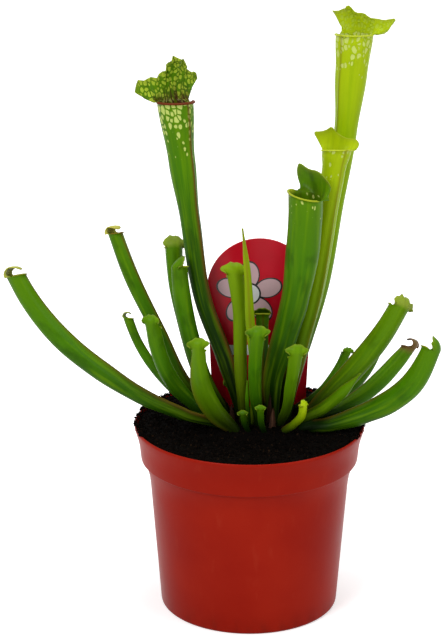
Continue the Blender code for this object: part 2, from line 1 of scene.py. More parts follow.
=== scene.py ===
import json
import math
import bmesh
import bpy
import numpy as np
from mathutils import Vector, noise
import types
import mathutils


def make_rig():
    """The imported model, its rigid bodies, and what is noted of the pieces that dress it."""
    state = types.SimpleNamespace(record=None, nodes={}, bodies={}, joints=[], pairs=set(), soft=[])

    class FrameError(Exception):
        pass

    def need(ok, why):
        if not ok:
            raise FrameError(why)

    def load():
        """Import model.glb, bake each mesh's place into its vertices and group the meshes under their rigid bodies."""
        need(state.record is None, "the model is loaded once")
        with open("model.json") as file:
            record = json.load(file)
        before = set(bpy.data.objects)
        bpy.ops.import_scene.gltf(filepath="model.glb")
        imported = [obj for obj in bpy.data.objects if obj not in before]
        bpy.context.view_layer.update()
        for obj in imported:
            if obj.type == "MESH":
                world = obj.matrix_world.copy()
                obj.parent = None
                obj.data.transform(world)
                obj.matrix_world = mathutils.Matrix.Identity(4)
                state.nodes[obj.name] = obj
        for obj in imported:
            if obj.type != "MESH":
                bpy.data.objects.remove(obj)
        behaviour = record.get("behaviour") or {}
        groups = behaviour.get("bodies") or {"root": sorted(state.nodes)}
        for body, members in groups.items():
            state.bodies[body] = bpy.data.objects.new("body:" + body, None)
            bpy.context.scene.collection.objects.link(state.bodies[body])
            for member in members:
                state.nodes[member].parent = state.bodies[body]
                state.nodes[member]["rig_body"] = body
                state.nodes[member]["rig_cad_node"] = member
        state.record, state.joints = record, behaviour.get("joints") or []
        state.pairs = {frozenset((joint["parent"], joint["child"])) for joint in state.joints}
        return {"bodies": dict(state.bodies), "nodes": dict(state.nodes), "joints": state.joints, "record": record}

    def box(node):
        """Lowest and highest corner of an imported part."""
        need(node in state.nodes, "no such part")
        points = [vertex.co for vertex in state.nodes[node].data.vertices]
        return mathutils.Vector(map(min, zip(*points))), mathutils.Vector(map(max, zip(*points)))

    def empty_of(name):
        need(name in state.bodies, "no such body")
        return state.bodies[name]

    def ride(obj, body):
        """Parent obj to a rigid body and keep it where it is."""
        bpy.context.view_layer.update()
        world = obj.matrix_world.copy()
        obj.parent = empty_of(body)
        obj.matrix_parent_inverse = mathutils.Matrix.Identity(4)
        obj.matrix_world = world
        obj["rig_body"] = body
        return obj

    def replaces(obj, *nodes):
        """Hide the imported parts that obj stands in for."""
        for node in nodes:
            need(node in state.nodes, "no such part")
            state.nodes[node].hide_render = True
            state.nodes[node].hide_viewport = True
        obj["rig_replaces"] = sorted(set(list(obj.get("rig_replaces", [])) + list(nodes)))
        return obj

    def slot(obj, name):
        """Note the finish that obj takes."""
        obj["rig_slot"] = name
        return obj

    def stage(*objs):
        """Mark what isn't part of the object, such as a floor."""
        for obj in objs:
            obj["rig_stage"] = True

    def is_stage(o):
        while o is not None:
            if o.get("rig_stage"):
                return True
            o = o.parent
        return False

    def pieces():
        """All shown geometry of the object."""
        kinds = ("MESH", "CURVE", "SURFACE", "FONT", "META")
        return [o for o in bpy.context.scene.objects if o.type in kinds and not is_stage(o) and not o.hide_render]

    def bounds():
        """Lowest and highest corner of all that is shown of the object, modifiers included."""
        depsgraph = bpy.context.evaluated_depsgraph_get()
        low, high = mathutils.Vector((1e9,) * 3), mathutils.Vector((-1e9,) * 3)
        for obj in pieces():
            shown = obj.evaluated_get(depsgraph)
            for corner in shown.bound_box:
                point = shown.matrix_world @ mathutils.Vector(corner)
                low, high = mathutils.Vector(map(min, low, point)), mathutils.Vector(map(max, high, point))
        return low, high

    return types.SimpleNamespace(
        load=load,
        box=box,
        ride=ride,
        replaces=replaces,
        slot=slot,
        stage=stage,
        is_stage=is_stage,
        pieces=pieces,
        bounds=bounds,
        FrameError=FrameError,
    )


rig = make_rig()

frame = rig.load()
cad_box = [list(corner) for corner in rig.bounds()]
MM = 0.001

# ---------------------------------------------------------------- the pot
# A 9 cm nursery pot, moulded in one shot from terracotta-coloured polypropylene. The collar
# stiffens the rim, and the base stands on a ring and a centre pad with drain holes between.


def node(tree, kind, links=None, **settings):
    """Adds a shader node. Settings are its own properties; links are socket values or other sockets."""
    made = tree.nodes.new(kind)
    for key, value in settings.items():
        setattr(made, key, value)
    for key, value in (links or {}).items():
        if isinstance(value, bpy.types.NodeSocket):
            tree.links.new(value, made.inputs[key])
        else:
            made.inputs[key].default_value = value
    return made


def ramp(tree, factor, stops):
    """A colour ramp from (position, colour) stops."""
    made = node(tree, "ShaderNodeValToRGB", {"Fac": factor})
    points = made.color_ramp.elements
    while len(points) < len(stops):
        points.new(0.5)
    for point, (position, colour) in zip(points, stops):
        point.position = position
        point.color = (*colour, 1.0)
    return made.outputs["Color"]


def band(tree, factor, low, high, to_low=0.0, to_high=1.0):
    """A smooth step of factor from low to high."""
    made = node(tree, "ShaderNodeMapRange", {"Value": factor, "From Min": low, "From Max": high,
                                             "To Min": to_low, "To Max": to_high},
                interpolation_type="SMOOTHSTEP")
    return made.outputs["Result"]


def maths(tree, operation, a, b=0.0, c=0.0):
    made = node(tree, "ShaderNodeMath", {0: a, 1: b, 2: c}, operation=operation)
    return made.outputs["Value"]


def blend_colour(tree, factor, a, b, mode="MIX"):
    made = node(tree, "ShaderNodeMix", {"Factor": factor}, data_type="RGBA", blend_type=mode)
    for socket, value in ((6, a), (7, b)):
        if isinstance(value, bpy.types.NodeSocket):
            tree.links.new(value, made.inputs[socket])
        else:
            made.inputs[socket].default_value = (*value, 1.0)
    return made.outputs[2]


def finish_material(name, roughness=0.5, specular=0.5):
    """A new material with its Principled shader, and the object coordinates that patterns use."""
    made = bpy.data.materials.new(name)
    made.use_nodes = True
    tree = made.node_tree
    shader = tree.nodes["Principled BSDF"]
    shader.inputs["Roughness"].default_value = roughness
    shader.inputs["Specular IOR Level"].default_value = specular
    where = node(tree, "ShaderNodeTexCoord").outputs["Object"]
    return made, tree, shader, where


def speckle(tree, where, scale, detail=3.0, stretch=(1.0, 1.0, 1.0)):
    """Soft noise over the piece, 0 to 1."""
    placed = node(tree, "ShaderNodeMapping", {"Vector": where, "Scale": stretch}).outputs["Vector"]
    return node(tree, "ShaderNodeTexNoise", {"Vector": placed, "Scale": scale, "Detail": detail}).outputs["Fac"]


def bumpy(tree, shader, height, distance, strength=1.0):
    made = node(tree, "ShaderNodeBump", {"Height": height, "Distance": distance, "Strength": strength})
    tree.links.new(made.outputs["Normal"], shader.inputs["Normal"])


def solid_from(name, points, faces, material, merge=True):
    """A closed mesh object from points in metres, faces turned outwards and shaded smooth."""
    mesh = bpy.data.meshes.new(name)
    mesh.from_pydata([tuple(p) for p in points], [], faces)
    work = bmesh.new()
    work.from_mesh(mesh)
    bmesh.ops.delete(work, geom=[v for v in work.verts if not v.link_faces], context="VERTS")
    if merge:
        bmesh.ops.remove_doubles(work, verts=work.verts, dist=1e-6)
    bmesh.ops.recalc_face_normals(work, faces=work.faces)
    work.to_mesh(mesh)
    work.free()
    mesh.shade_smooth()
    made = bpy.data.objects.new(name, mesh)
    bpy.context.scene.collection.objects.link(made)
    mesh.materials.append(material)
    return made


def lathe(name, profile, segments, material):
    """A solid turned about Z from (radius, z) points in millimetres, with both ends on the axis."""
    points, rows, faces = [], [], []
    for radius, z in profile:
        count = 1 if radius == 0 else segments
        rows.append(list(range(len(points), len(points) + count)))
        for k in range(count):
            angle = 2 * math.pi * k / segments
            points.append((radius * math.cos(angle) * MM, radius * math.sin(angle) * MM, z * MM))
    for low, high in zip(rows, rows[1:]):
        for k in range(segments):
            corners = [low[k % len(low)], low[(k + 1) % len(low)], high[(k + 1) % len(high)], high[k % len(high)]]
            faces.append(list(dict.fromkeys(corners)))
    return solid_from(name, points, faces, material)


def rounded(corners, steps=5):
    """A profile with its inner corners rounded. Each corner is (radius, z, rounding)."""
    made = []
    for k, (r, z, fillet) in enumerate(corners):
        if fillet == 0 or k in (0, len(corners) - 1):
            made.append((r, z))
            continue
        here = Vector((r, z))
        ends = []
        for other in (corners[k - 1], corners[k + 1]):
            way = Vector(other[:2]) - here
            ends.append(here + way.normalized() * min(fillet, way.length * 0.45))
        for step in range(steps + 1):
            t = step / steps
            made.append(tuple(ends[0] * (1 - t) ** 2 + here * 2 * t * (1 - t) + ends[1] * t * t))
    return made


plastic, tree, shader, where = finish_material("terracotta_plastic", roughness=0.34, specular=0.04)
cloud = speckle(tree, where, 38, 4)
bloom = speckle(tree, where, 260, 3, (1, 1, 0.35))
tone = blend_colour(tree, band(tree, cloud, 0.3, 0.75), (0.270, 0.0088, 0.0028), (0.310, 0.0130, 0.0042))
tone = blend_colour(tree, band(tree, bloom, 0.62, 0.8, 0.0, 0.22), tone, (0.36, 0.035, 0.016))
height = node(tree, "ShaderNodeSeparateXYZ", {"Vector": where}).outputs["Z"]
# The pot is darker in patches over its lowest 10 mm, towards the foot.
splash = maths(tree, "MULTIPLY", band(tree, height, 0.010, 0.0, 0.0, 0.35), band(tree, bloom, 0.35, 0.7))
tone = blend_colour(tree, splash, tone, (0.11, 0.008, 0.004))
tree.links.new(tone, shader.inputs["Base Color"])
tree.links.new(band(tree, cloud, 0.2, 0.8, 0.28, 0.40), shader.inputs["Roughness"])
grain = speckle(tree, where, 1400, 2)
bumpy(tree, shader, maths(tree, "ADD", maths(tree, "MULTIPLY", grain, 0.4), bloom), 0.00006, 0.6)

POT_RIM_R = 45.0
POT_WALL = 1.1
DRAIN_HOLES = 8
outside = [(34.8, 0.0, 1.3), (38.8, 51.5, 3.0), (39.5, 55.5, 2.5), (41.1, 60.3, 0.2), (42.35, 60.8, 0.35), (43.1, 68.0, 3.0),
           (45.0, 74.2, 0.9),
           (44.55, 75.0, 0.5), (43.7, 74.3, 0.6)]
inside = [(42.4, 69.6, 3.0), (40.8, 59.2, 2.6), (37.9, 53.2, 2.2), (33.9, 1.6, 1.4)]
underside = [(0, 0, 0), (16.6, 0, 0.5), (17.8, 0.7, 0.4), (29.6, 0.7, 0.4), (30.6, 0, 0.5)]
pot = lathe("moulded_pot", rounded(underside + outside + inside + [(0, 1.6, 0)]), 144, plastic)
for k in range(DRAIN_HOLES):
    angle = 2 * math.pi * (k + 0.5) / DRAIN_HOLES
    drill = lathe(f"drill_{k}", [(0, -1), (3.0, -1), (3.0, 3), (0, 3)], 28, plastic)
    drill.data.transform(__import__("mathutils").Matrix.Translation(
        (23.8 * MM * math.cos(angle), 23.8 * MM * math.sin(angle), 0)))
    cut = pot.modifiers.new("drain_hole", "BOOLEAN")
    cut.operation = "DIFFERENCE"
    cut.object = drill
bpy.context.view_layer.update()
pierced = bpy.data.meshes.new_from_object(pot.evaluated_get(bpy.context.evaluated_depsgraph_get()))
pot.modifiers.clear()
pot.data = pierced
for drill in [o for o in bpy.data.objects if o.name.startswith("drill_")]:
    bpy.data.objects.remove(drill)
pot.data.set_sharp_from_angle(angle=math.radians(50))
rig.replaces(pot, "pot")
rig.slot(pot, "terracotta_plastic")
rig.ride(pot, "root")

# ---------------------------------------------------------------- the peat
# Damp black sphagnum peat, pressed in by hand: level with the rim at the wall and a little
# lower round the crown. Crumbs and root fibres lie all over it, and a few hang over the rim.
peat_mat, tree, shader, where = finish_material("damp_peat", roughness=0.9, specular=0.03)
clods = speckle(tree, where, 420, 5)
flecks = speckle(tree, where, 1500, 2)
tone = ramp(tree, clods, [(0.25, (0.0010, 0.0007, 0.0006)), (0.6, (0.0018, 0.0012, 0.0009)), (0.85, (0.0050, 0.0030, 0.0020))])
tone = blend_colour(tree, band(tree, flecks, 0.66, 0.76, 0.0, 0.6), tone, (0.022, 0.012, 0.006))
tree.links.new(tone, shader.inputs["Base Color"])
bumpy(tree, shader, clods, 0.0012, 0.8)


def peat_height(x, y):
    """Height in millimetres of the peat's top."""
    out = min(max((math.hypot(x, y) - 22) / 20, 0.0), 1.0)
    level = 72.5 + 2.0 * out * out * (3 - 2 * out)
    crown = max(0.0, 1 - ((x - 5.5) / 24) ** 2 - ((y - 2) / 18) ** 2)
    coarse = noise.fractal(Vector((x * 0.12, y * 0.12, 3)), 0.8, 2.1, 4)
    fine = noise.fractal(Vector((x * 0.55, y * 0.55, 7)), 0.7, 2.2, 4)
    heaped = 1.9 * math.exp(-((x - 5) / 17) ** 2 - ((y + 9) / 6.5) ** 2)
    return level + 1.3 * math.sqrt(crown) + heaped + 0.55 * coarse * (1 - 0.5 * out) + 0.45 * fine


points, rows, faces = [], [], []
ROUND = 168
for radius, z in [(0, 2.0), (33.4, 2.0), (37.4, 53.4), (40.4, 59.4), (42.0, 69.6), (43.3, 73.6)]:
    rows.append(list(range(len(points), len(points) + (1 if radius == 0 else ROUND))))
    for k in range(len(rows[-1])):
        angle = 2 * math.pi * k / ROUND
        points.append((radius * math.cos(angle) * MM, radius * math.sin(angle) * MM, z * MM))
for step in range(1, 58):
    radius = 43.3 * (1 - step / 58)
    rows.append(list(range(len(points), len(points) + ROUND)))
    for k in range(ROUND):
        x, y = radius * math.cos(2 * math.pi * k / ROUND), radius * math.sin(2 * math.pi * k / ROUND)
        points.append((x * MM, y * MM, peat_height(x, y) * MM))
rows.append([len(points)])
points.append((0, 0, peat_height(0, 0) * MM))
for low, high in zip(rows, rows[1:]):
    for k in range(ROUND):
        corners = [low[k % len(low)], low[(k + 1) % len(low)], high[(k + 1) % len(high)], high[k % len(high)]]
        faces.append(list(dict.fromkeys(corners)))
peat = solid_from("peat_ball", points, faces, peat_mat)
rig.replaces(peat, "peat")
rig.slot(peat, "peat")
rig.ride(peat, "root")


def crumb_tree(material):
    """Scatters crumbs and fibres over a surface. Inputs: how many of each, and their sizes."""
    group = bpy.data.node_groups.new("scatter_crumbs", "GeometryNodeTree")
    face = group.interface
    face.new_socket("Surface", in_out="INPUT", socket_type="NodeSocketGeometry")
    for label, kind, value in (("Crumb Density", "NodeSocketFloat", 700000.0), ("Crumb Size", "NodeSocketFloat", 0.0008),
                               ("Fibre Density", "NodeSocketFloat", 90000.0), ("Fibre Length", "NodeSocketFloat", 0.004),
                               ("Seed", "NodeSocketInt", 4)):
        face.new_socket(label, in_out="INPUT", socket_type=kind).default_value = value
    face.new_socket("Crumbs", in_out="OUTPUT", socket_type="NodeSocketGeometry")
    given = group.nodes.new("NodeGroupInput").outputs
    result = group.nodes.new("NodeGroupOutput")

    def scatter(density, shape, low, high, size, seed):
        spots = node(group, "GeometryNodeDistributePointsOnFaces", {"Mesh": given["Surface"], "Density": density, "Seed": given["Seed"]})
        spin = node(group, "FunctionNodeRandomValue", {0: (0, 0, 0), 1: (6.28, 6.28, 6.28), "Seed": seed}, data_type="FLOAT_VECTOR")
        grow = node(group, "FunctionNodeRandomValue", {0: low, 1: high, "Seed": seed + 1}, data_type="FLOAT_VECTOR")
        sized = node(group, "ShaderNodeVectorMath", {0: grow.outputs[0], "Scale": size}, operation="SCALE")
        return node(group, "GeometryNodeInstanceOnPoints", {"Points": spots.outputs["Points"], "Instance": shape,
                    "Rotation": spin.outputs[0], "Scale": sized.outputs[0]}).outputs["Instances"]

    lump = node(group, "GeometryNodeMeshIcoSphere", {"Radius": 1.0, "Subdivisions": 1}).outputs["Mesh"]
    crumbs = scatter(given["Crumb Density"], lump, (0.3, 0.3, 0.25), (1.1, 0.9, 0.7), given["Crumb Size"], 11)
    thread = node(group, "GeometryNodeCurveQuadraticBezier", {"Resolution": 4, "Start": (-0.5, 0, 0), "Middle": (0, 0.35, 0.12), "End": (0.5, 0, 0)})
    ring = node(group, "GeometryNodeCurvePrimitiveCircle", {"Resolution": 3, "Radius": 0.022})
    strand = node(group, "GeometryNodeCurveToMesh", {"Curve": thread.outputs["Curve"], "Profile Curve": ring.outputs["Curve"], "Fill Caps": True}).outputs["Mesh"]
    fibres = scatter(given["Fibre Density"], strand, (0.4, 0.4, 0.4), (1.2, 1.2, 1.2), given["Fibre Length"], 31)
    both = group.nodes.new("GeometryNodeJoinGeometry")
    group.links.new(crumbs, both.inputs[0])
    group.links.new(fibres, both.inputs[0])
    real = node(group, "GeometryNodeRealizeInstances", {"Geometry": both.outputs[0]})
    dressed = node(group, "GeometryNodeSetMaterial", {"Geometry": real.outputs[0], "Material": material})
    group.links.new(dressed.outputs[0], result.inputs[0])
    return group


def scattered(name, surface, group, values, slot):
    """Runs a scatter tree on a surface mesh and keeps the result as a plain piece."""
    holder = bpy.data.objects.new(name, surface)
    bpy.context.scene.collection.objects.link(holder)
    modifier = holder.modifiers.new("scatter", "NODES")
    modifier.node_group = group
    for item in group.interface.items_tree:
        if item.in_out == "INPUT" and item.name in values:
            modifier[item.identifier] = values[item.name]
    bpy.context.view_layer.update()
    mesh = bpy.data.meshes.new_from_object(holder.evaluated_get(bpy.context.evaluated_depsgraph_get()))
    holder.modifiers.clear()
    holder.data = mesh
    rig.slot(holder, slot)
    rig.ride(holder, "root")
    return holder


crumb_mat, tree, shader, where = finish_material("peat_crumbs", roughness=0.9, specular=0.03)
mixed = speckle(tree, where, 900, 2)
tone = ramp(tree, mixed, [(0.35, (0.0010, 0.0007, 0.0005)), (0.62, (0.0032, 0.0019, 0.0013)), (0.74, (0.026, 0.013, 0.006))])
tree.links.new(tone, shader.inputs["Base Color"])


def ring_surface(name, inner, outer, height, start=0, end=360):
    """A thin flat surface between two radii and two bearings, for things to be scattered on."""
    mesh = bpy.data.meshes.new(name)
    spots, quads = [], []
    radii = np.linspace(inner, outer, 12)
    for radius in radii:
        for k in range(97):
            bearing = math.radians(start + (end - start) * k / 96)
            x, y = radius * math.cos(bearing), radius * math.sin(bearing)
            spots.append((x * MM, y * MM, height(x, y) * MM))
    for i in range(len(radii) - 1):
        for k in range(96):
            quads.append((i * 97 + k, i * 97 + k + 1, (i + 1) * 97 + k + 1, (i + 1) * 97 + k))
    mesh.from_pydata(spots, [], quads)
    return mesh


crumbling = crumb_tree(crumb_mat)
scattered("peat_crumbs_top", ring_surface("top", 0.5, 42.6, peat_height), crumbling,
          {"Crumb Density": 620000.0, "Fibre Density": 110000.0, "Seed": 4}, "peat")
scattered("peat_clods", ring_surface("clods", 2, 41.5, peat_height), crumbling,
          {"Crumb Density": 45000.0, "Crumb Size": 0.0017, "Fibre Density": 12000.0, "Fibre Length": 0.008, "Seed": 6}, "peat")
for name, start, end in (("left", 152, 205), ("back_left", 100, 150), ("right", -28, 8), ("back_right", 20, 80)):
    scattered("peat_over_rim_" + name, ring_surface(name, 42.8, 44.9, lambda x, y: 75.0, start, end), crumbling,
              {"Crumb Density": 1100000.0, "Crumb Size": 0.0008, "Fibre Density": 700000.0, "Fibre Length": 0.0034,
               "Seed": 9 + start}, "peat")

# ---------------------------------------------------------------- the rhizome
# The knobbly brown rootstock that every leaf grows from. It lies in the top of the peat,
# almost hidden, with old leaf scars round it.
root_mat, tree, shader, where = finish_material("rhizome_bark", roughness=0.8, specular=0.08)
bark = speckle(tree, where, 300, 5, (1, 1, 3))
tone = ramp(tree, bark, [(0.3, (0.006, 0.004, 0.003)), (0.6, (0.03, 0.016, 0.009)), (0.8, (0.07, 0.04, 0.02))])
tree.links.new(tone, shader.inputs["Base Color"])
bumpy(tree, shader, bark, 0.0008, 0.7)
low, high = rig.box("rhizome")
centre = (low + high) / 2
half = (high - low) / 2
lump = bmesh.new()
bmesh.ops.create_icosphere(lump, subdivisions=5, radius=1.0)
for vert in lump.verts:
    way = vert.co.normalized()
    knob = 0.93 + 0.07 * noise.noise(way * 4.5)
    flat = Vector((math.copysign(abs(way.x) ** 0.8, way.x), math.copysign(abs(way.y) ** 0.8, way.y),
                   math.copysign(abs(way.z) ** 0.6, way.z)))
    vert.co = centre + Vector((flat.x * half.x, flat.y * half.y, flat.z * half.z * 0.97)) * knob
mesh = bpy.data.meshes.new("rootstock")
lump.to_mesh(mesh)
lump.free()
mesh.shade_smooth()
mesh.materials.append(root_mat)
rootstock = bpy.data.objects.new("rootstock", mesh)
bpy.context.scene.collection.objects.link(rootstock)
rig.replaces(rootstock, "rhizome")
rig.slot(rootstock, "rhizome")
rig.ride(rootstock, "root")

# ---------------------------------------------------------------- the leaves
# Each leaf is a rolled blade grown into a tube, with a keel down its front, a rolled lip and a
# hood. It is waxy, and its colour runs dark at the foot and brighter upwards: partly its own colour,
# partly painted shade of the crowded crown. Old ones have pale windows between green veins near
# the mouth. All are rooted side by side on the rhizome.


def leaf_material(name):
    """Leaf tissue. place = (along, hood, edge, inside); marks = (lip, keel, windows, browned);
    kind = (yellowness, redness, lightness). space is the place on the unrolled blade, in metres."""
    made, tree, shader, where = finish_material(name, roughness=0.4, specular=0.06)

    def channels(label):
        read = node(tree, "ShaderNodeAttribute", attribute_name=label)
        parts = node(tree, "ShaderNodeSeparateColor", {"Color": read.outputs["Color"]}).outputs
        return parts[0], parts[1], parts[2], read.outputs["Alpha"]

    along, hood, edge, inside = channels("place")
    lip, keel, windows, browned = channels("marks")
    yellow, red, light, straw = channels("kind")
    space = node(tree, "ShaderNodeAttribute", attribute_name="space").outputs["Vector"]

    # The green and lime ramps run near black at the foot and brighter upwards: partly the leaf's own colour, partly
    # painted shade of the crowded crown.
    green = ramp(tree, along, [(0.0, (0.0015, 0.0060, 0.0003)), (0.14, (0.0060, 0.0240, 0.0004)),
                               (0.36, (0.0230, 0.0850, 0.0006)), (0.72, (0.0520, 0.1680, 0.0007)),
                               (1.0, (0.0780, 0.1980, 0.0010))])
    lime = ramp(tree, along, [(0.0, (0.0040, 0.0160, 0.0004)), (0.16, (0.0250, 0.0750, 0.0008)),
                              (0.42, (0.1500, 0.2900, 0.0010)), (0.75, (0.2800, 0.4250, 0.0010)),
                              (1.0, (0.4000, 0.5200, 0.0040))])
    tone = blend_colour(tree, yellow, green, lime)
    streak = speckle(tree, space, 520, 3, (1, 1, 0.06))
    mottle = speckle(tree, space, 150, 4, (1, 1, 0.5))
    tone = blend_colour(tree, band(tree, streak, 0.45, 0.70, 0.0, 0.28), tone, (0.19, 0.35, 0.002))
    dapple = maths(tree, "MULTIPLY", band(tree, mottle, 0.48, 0.70, 0.0, 0.50), maths(tree, "MULTIPLY_ADD", yellow, -0.8, 1.0))
    tone = blend_colour(tree, dapple, tone, (0.010, 0.042, 0.0006))
    tone = blend_colour(tree, light, tone, (0.33, 0.47, 0.004))
    # Painted shade: the lowest 20 mm of every leaf is darkened towards near black, for the shade among the crowded feet
    # at the crown.
    run = node(tree, "ShaderNodeSeparateXYZ", {"Vector": space}).outputs["Z"]
    tone = blend_colour(tree, band(tree, run, 0.020, 0.001, 0.0, 0.85), tone, (0.0020, 0.0070, 0.0006))

    warped = node(tree, "ShaderNodeTexNoise", {"Vector": space, "Scale": 240.0, "Detail": 1.0}, noise_dimensions="3D")
    nudge = node(tree, "ShaderNodeVectorMath", {0: warped.outputs["Color"], 1: (0.5, 0.5, 0.5)}, operation="SUBTRACT")
    small = node(tree, "ShaderNodeVectorMath", {0: nudge.outputs[0], "Scale": 0.0016}, operation="SCALE")
    moved = node(tree, "ShaderNodeVectorMath", {0: space, 1: small.outputs[0]}, operation="ADD")
    placed = node(tree, "ShaderNodeMapping", {"Vector": moved.outputs[0], "Scale": (1, 1, 0.66)}).outputs["Vector"]
    grid = {"Vector": placed, "Scale": 520.0, "Randomness": 0.8}
    border = node(tree, "ShaderNodeTexVoronoi", grid, feature="DISTANCE_TO_EDGE").outputs["Distance"]
    centre = node(tree, "ShaderNodeTexVoronoi", grid)
    chance = node(tree, "ShaderNodeSeparateColor", {"Color": centre.outputs["Color"]}).outputs[0]
    size = maths(tree, "MULTIPLY_ADD", windows, 0.75, maths(tree, "MULTIPLY_ADD", chance, 0.35, -0.22))
    pane = band(tree, maths(tree, "SUBTRACT", size, centre.outputs["Distance"]), -0.05, 0.09)
    lit = maths(tree, "MULTIPLY", pane, maths(tree, "MULTIPLY", band(tree, border, 0.05, 0.14), band(tree, windows, 0.02, 0.1)))
    glass = blend_colour(tree, band(tree, hood, 0.0, 0.1), (0.56, 0.66, 0.16), (0.40, 0.53, 0.035))
    tone = blend_colour(tree, maths(tree, "MULTIPLY", lit, 0.85), tone, glass)
    throat = maths(tree, "MULTIPLY", maths(tree, "MULTIPLY", inside, red), band(tree, hood, 0.42, 0.05))
    tone = blend_colour(tree, maths(tree, "MULTIPLY", throat, 0.6), tone, (0.050, 0.018, 0.003))

    ribs = node(tree, "ShaderNodeTexNoise", {"Vector": node(tree, "ShaderNodeMapping", {"Vector": space, "Scale": (1, 1, 0.05)}).outputs["Vector"],
                                            "Scale": 900.0, "Detail": 2.0}).outputs["Fac"]
    veined = maths(tree, "MULTIPLY", band(tree, ribs, 0.48, 0.58), maths(tree, "MULTIPLY", red, band(tree, hood, 0.75, 0.0)))
    tone = blend_colour(tree, maths(tree, "MULTIPLY", veined, maths(tree, "MULTIPLY", inside, 0.9)), tone, (0.035, 0.006, 0.003))
    tone = blend_colour(tree, maths(tree, "MULTIPLY", lip, maths(tree, "SUBTRACT", 1.0, red)), tone, (0.50, 0.60, 0.03))
    tone = blend_colour(tree, maths(tree, "MULTIPLY", lip, red), tone, (0.13, 0.025, 0.006))
    tone = blend_colour(tree, maths(tree, "MULTIPLY", keel, maths(tree, "MULTIPLY_ADD", red, 0.5, 0.4)), tone, (0.12, 0.05, 0.006))
    # Painted highlight: the outermost rim of each hood is paled to light yellow-green, where the folded edge catches
    # the light.
    tone = blend_colour(tree, maths(tree, "MULTIPLY", edge, 0.5), tone, (0.30, 0.34, 0.03))
    tone = blend_colour(tree, maths(tree, "MULTIPLY", straw, 0.85), tone, (0.62, 0.56, 0.11))
    dead = band(tree, maths(tree, "ADD", browned, maths(tree, "MULTIPLY", mottle, 0.35)), 0.55, 0.95)
    tone = blend_colour(tree, dead, tone, (0.14, 0.075, 0.025))
    tree.links.new(tone, shader.inputs["Base Color"])
    tree.links.new(band(tree, streak, 0.3, 0.75, 0.34, 0.5), shader.inputs["Roughness"])
    bumpy(tree, shader, maths(tree, "ADD", streak, maths(tree, "MULTIPLY", lit, -1.2)), 0.00018, 0.7)
    return made


def smooth_path(foot, stations, rows):
    """Centres, headings, radii and running lengths along a leaf that leaves its foot half upright."""
    knots = [Vector((foot[0], foot[1], 72.9))] + [Vector(s[:3]) for s in stations]
    radii = [foot[2]] + [s[3] for s in stations]
    spans = [(b - a).length for a, b in zip(knots, knots[1:])]
    slopes = [((knots[1] - knots[0]) / spans[0] + Vector((0, 0, 1))) / 2]
    for k in range(1, len(knots) - 1):
        before, after = (knots[k] - knots[k - 1]) / spans[k - 1], (knots[k + 1] - knots[k]) / spans[k]
        slopes.append((before * spans[k] + after * spans[k - 1]) / (spans[k] + spans[k - 1]))
    slopes.append((knots[-1] - knots[-2]) / spans[-1] * 1.5 - slopes[-1] * 0.5)
    made = []
    for row in range(rows + 1):
        run = sum(spans) * row / rows
        length, k = run, 0
        while k < len(spans) - 1 and run > spans[k]:
            run -= spans[k]
            k += 1
        u, span = min(run / spans[k], 1.0), spans[k]
        centre = (knots[k] * (2 * u**3 - 3 * u**2 + 1) + slopes[k] * span * (u**3 - 2 * u**2 + u)
                  + knots[k + 1] * (3 * u**2 - 2 * u**3) + slopes[k + 1] * span * (u**3 - u**2))
        heading = (knots[k] * (6 * u**2 - 6 * u) + slopes[k] * span * (3 * u**2 - 4 * u + 1)
                   + knots[k + 1] * (6 * u - 6 * u**2) + slopes[k + 1] * span * (3 * u**2 - 2 * u)).normalized()
        ease = u * u * (3 - 2 * u)
        made.append((centre, heading, radii[k] * (1 - ease) + radii[k + 1] * ease, length))
    return made


def smooth_through(keys, values, at):
    """Catmull-Rom curve through values at keys."""
    keys, values = np.array(keys, float), np.array(values, float)
    slopes = np.gradient(values, keys, axis=0)
    k = np.clip(np.searchsorted(keys, at) - 1, 0, len(keys) - 2)
    span = keys[k + 1] - keys[k]
    u = ((at - keys[k]) / span)[:, None]
    span = span[:, None]
    return (values[k] * (2 * u**3 - 3 * u**2 + 1) + slopes[k] * span * (u**3 - 2 * u**2 + u)
            + values[k + 1] * (3 * u**2 - 2 * u**3) + slopes[k + 1] * span * (u**3 - u**2))


class Blade:
    """Collects a leaf's points with what the material needs to know about each of them."""

    def __init__(self, leaf, mouth_radius):
        self.leaf, self.radius = leaf, mouth_radius
        self.points, self.place, self.marks, self.space, self.straw, self.faces = [], [], [], [], [], []

    def row(self, points, place, marks, space, straw=0.0):
        start = len(self.points)
        self.straw += [straw] * len(points)
        for label, rows in (("points", points), ("place", place), ("marks", marks), ("space", space)):
            getattr(self, label).extend(np.asarray(rows, float).reshape(len(points), -1))
        return list(range(start, start + len(points)))

    def bridge(self, low, high, closed=True, skip=()):
        for k in range(len(low) if closed else len(low) - 1):
            j = (k + 1) % len(low)
            if k not in skip:
                self.faces.append([low[k], low[j], high[j], high[k]])


def ring_axes(heading, front_degrees):
    compass = math.radians(front_degrees)
    flat = Vector((math.cos(compass), math.sin(compass), 0))
    front = (flat - heading * flat.dot(heading)).normalized()
    return np.array(front), np.array(heading.cross(front))


def keel_height(share, wing):
    return wing * math.sin(math.pi * min(1.0, share / 0.97) ** 0.75) ** 0.8 if share < 0.97 else 0.0


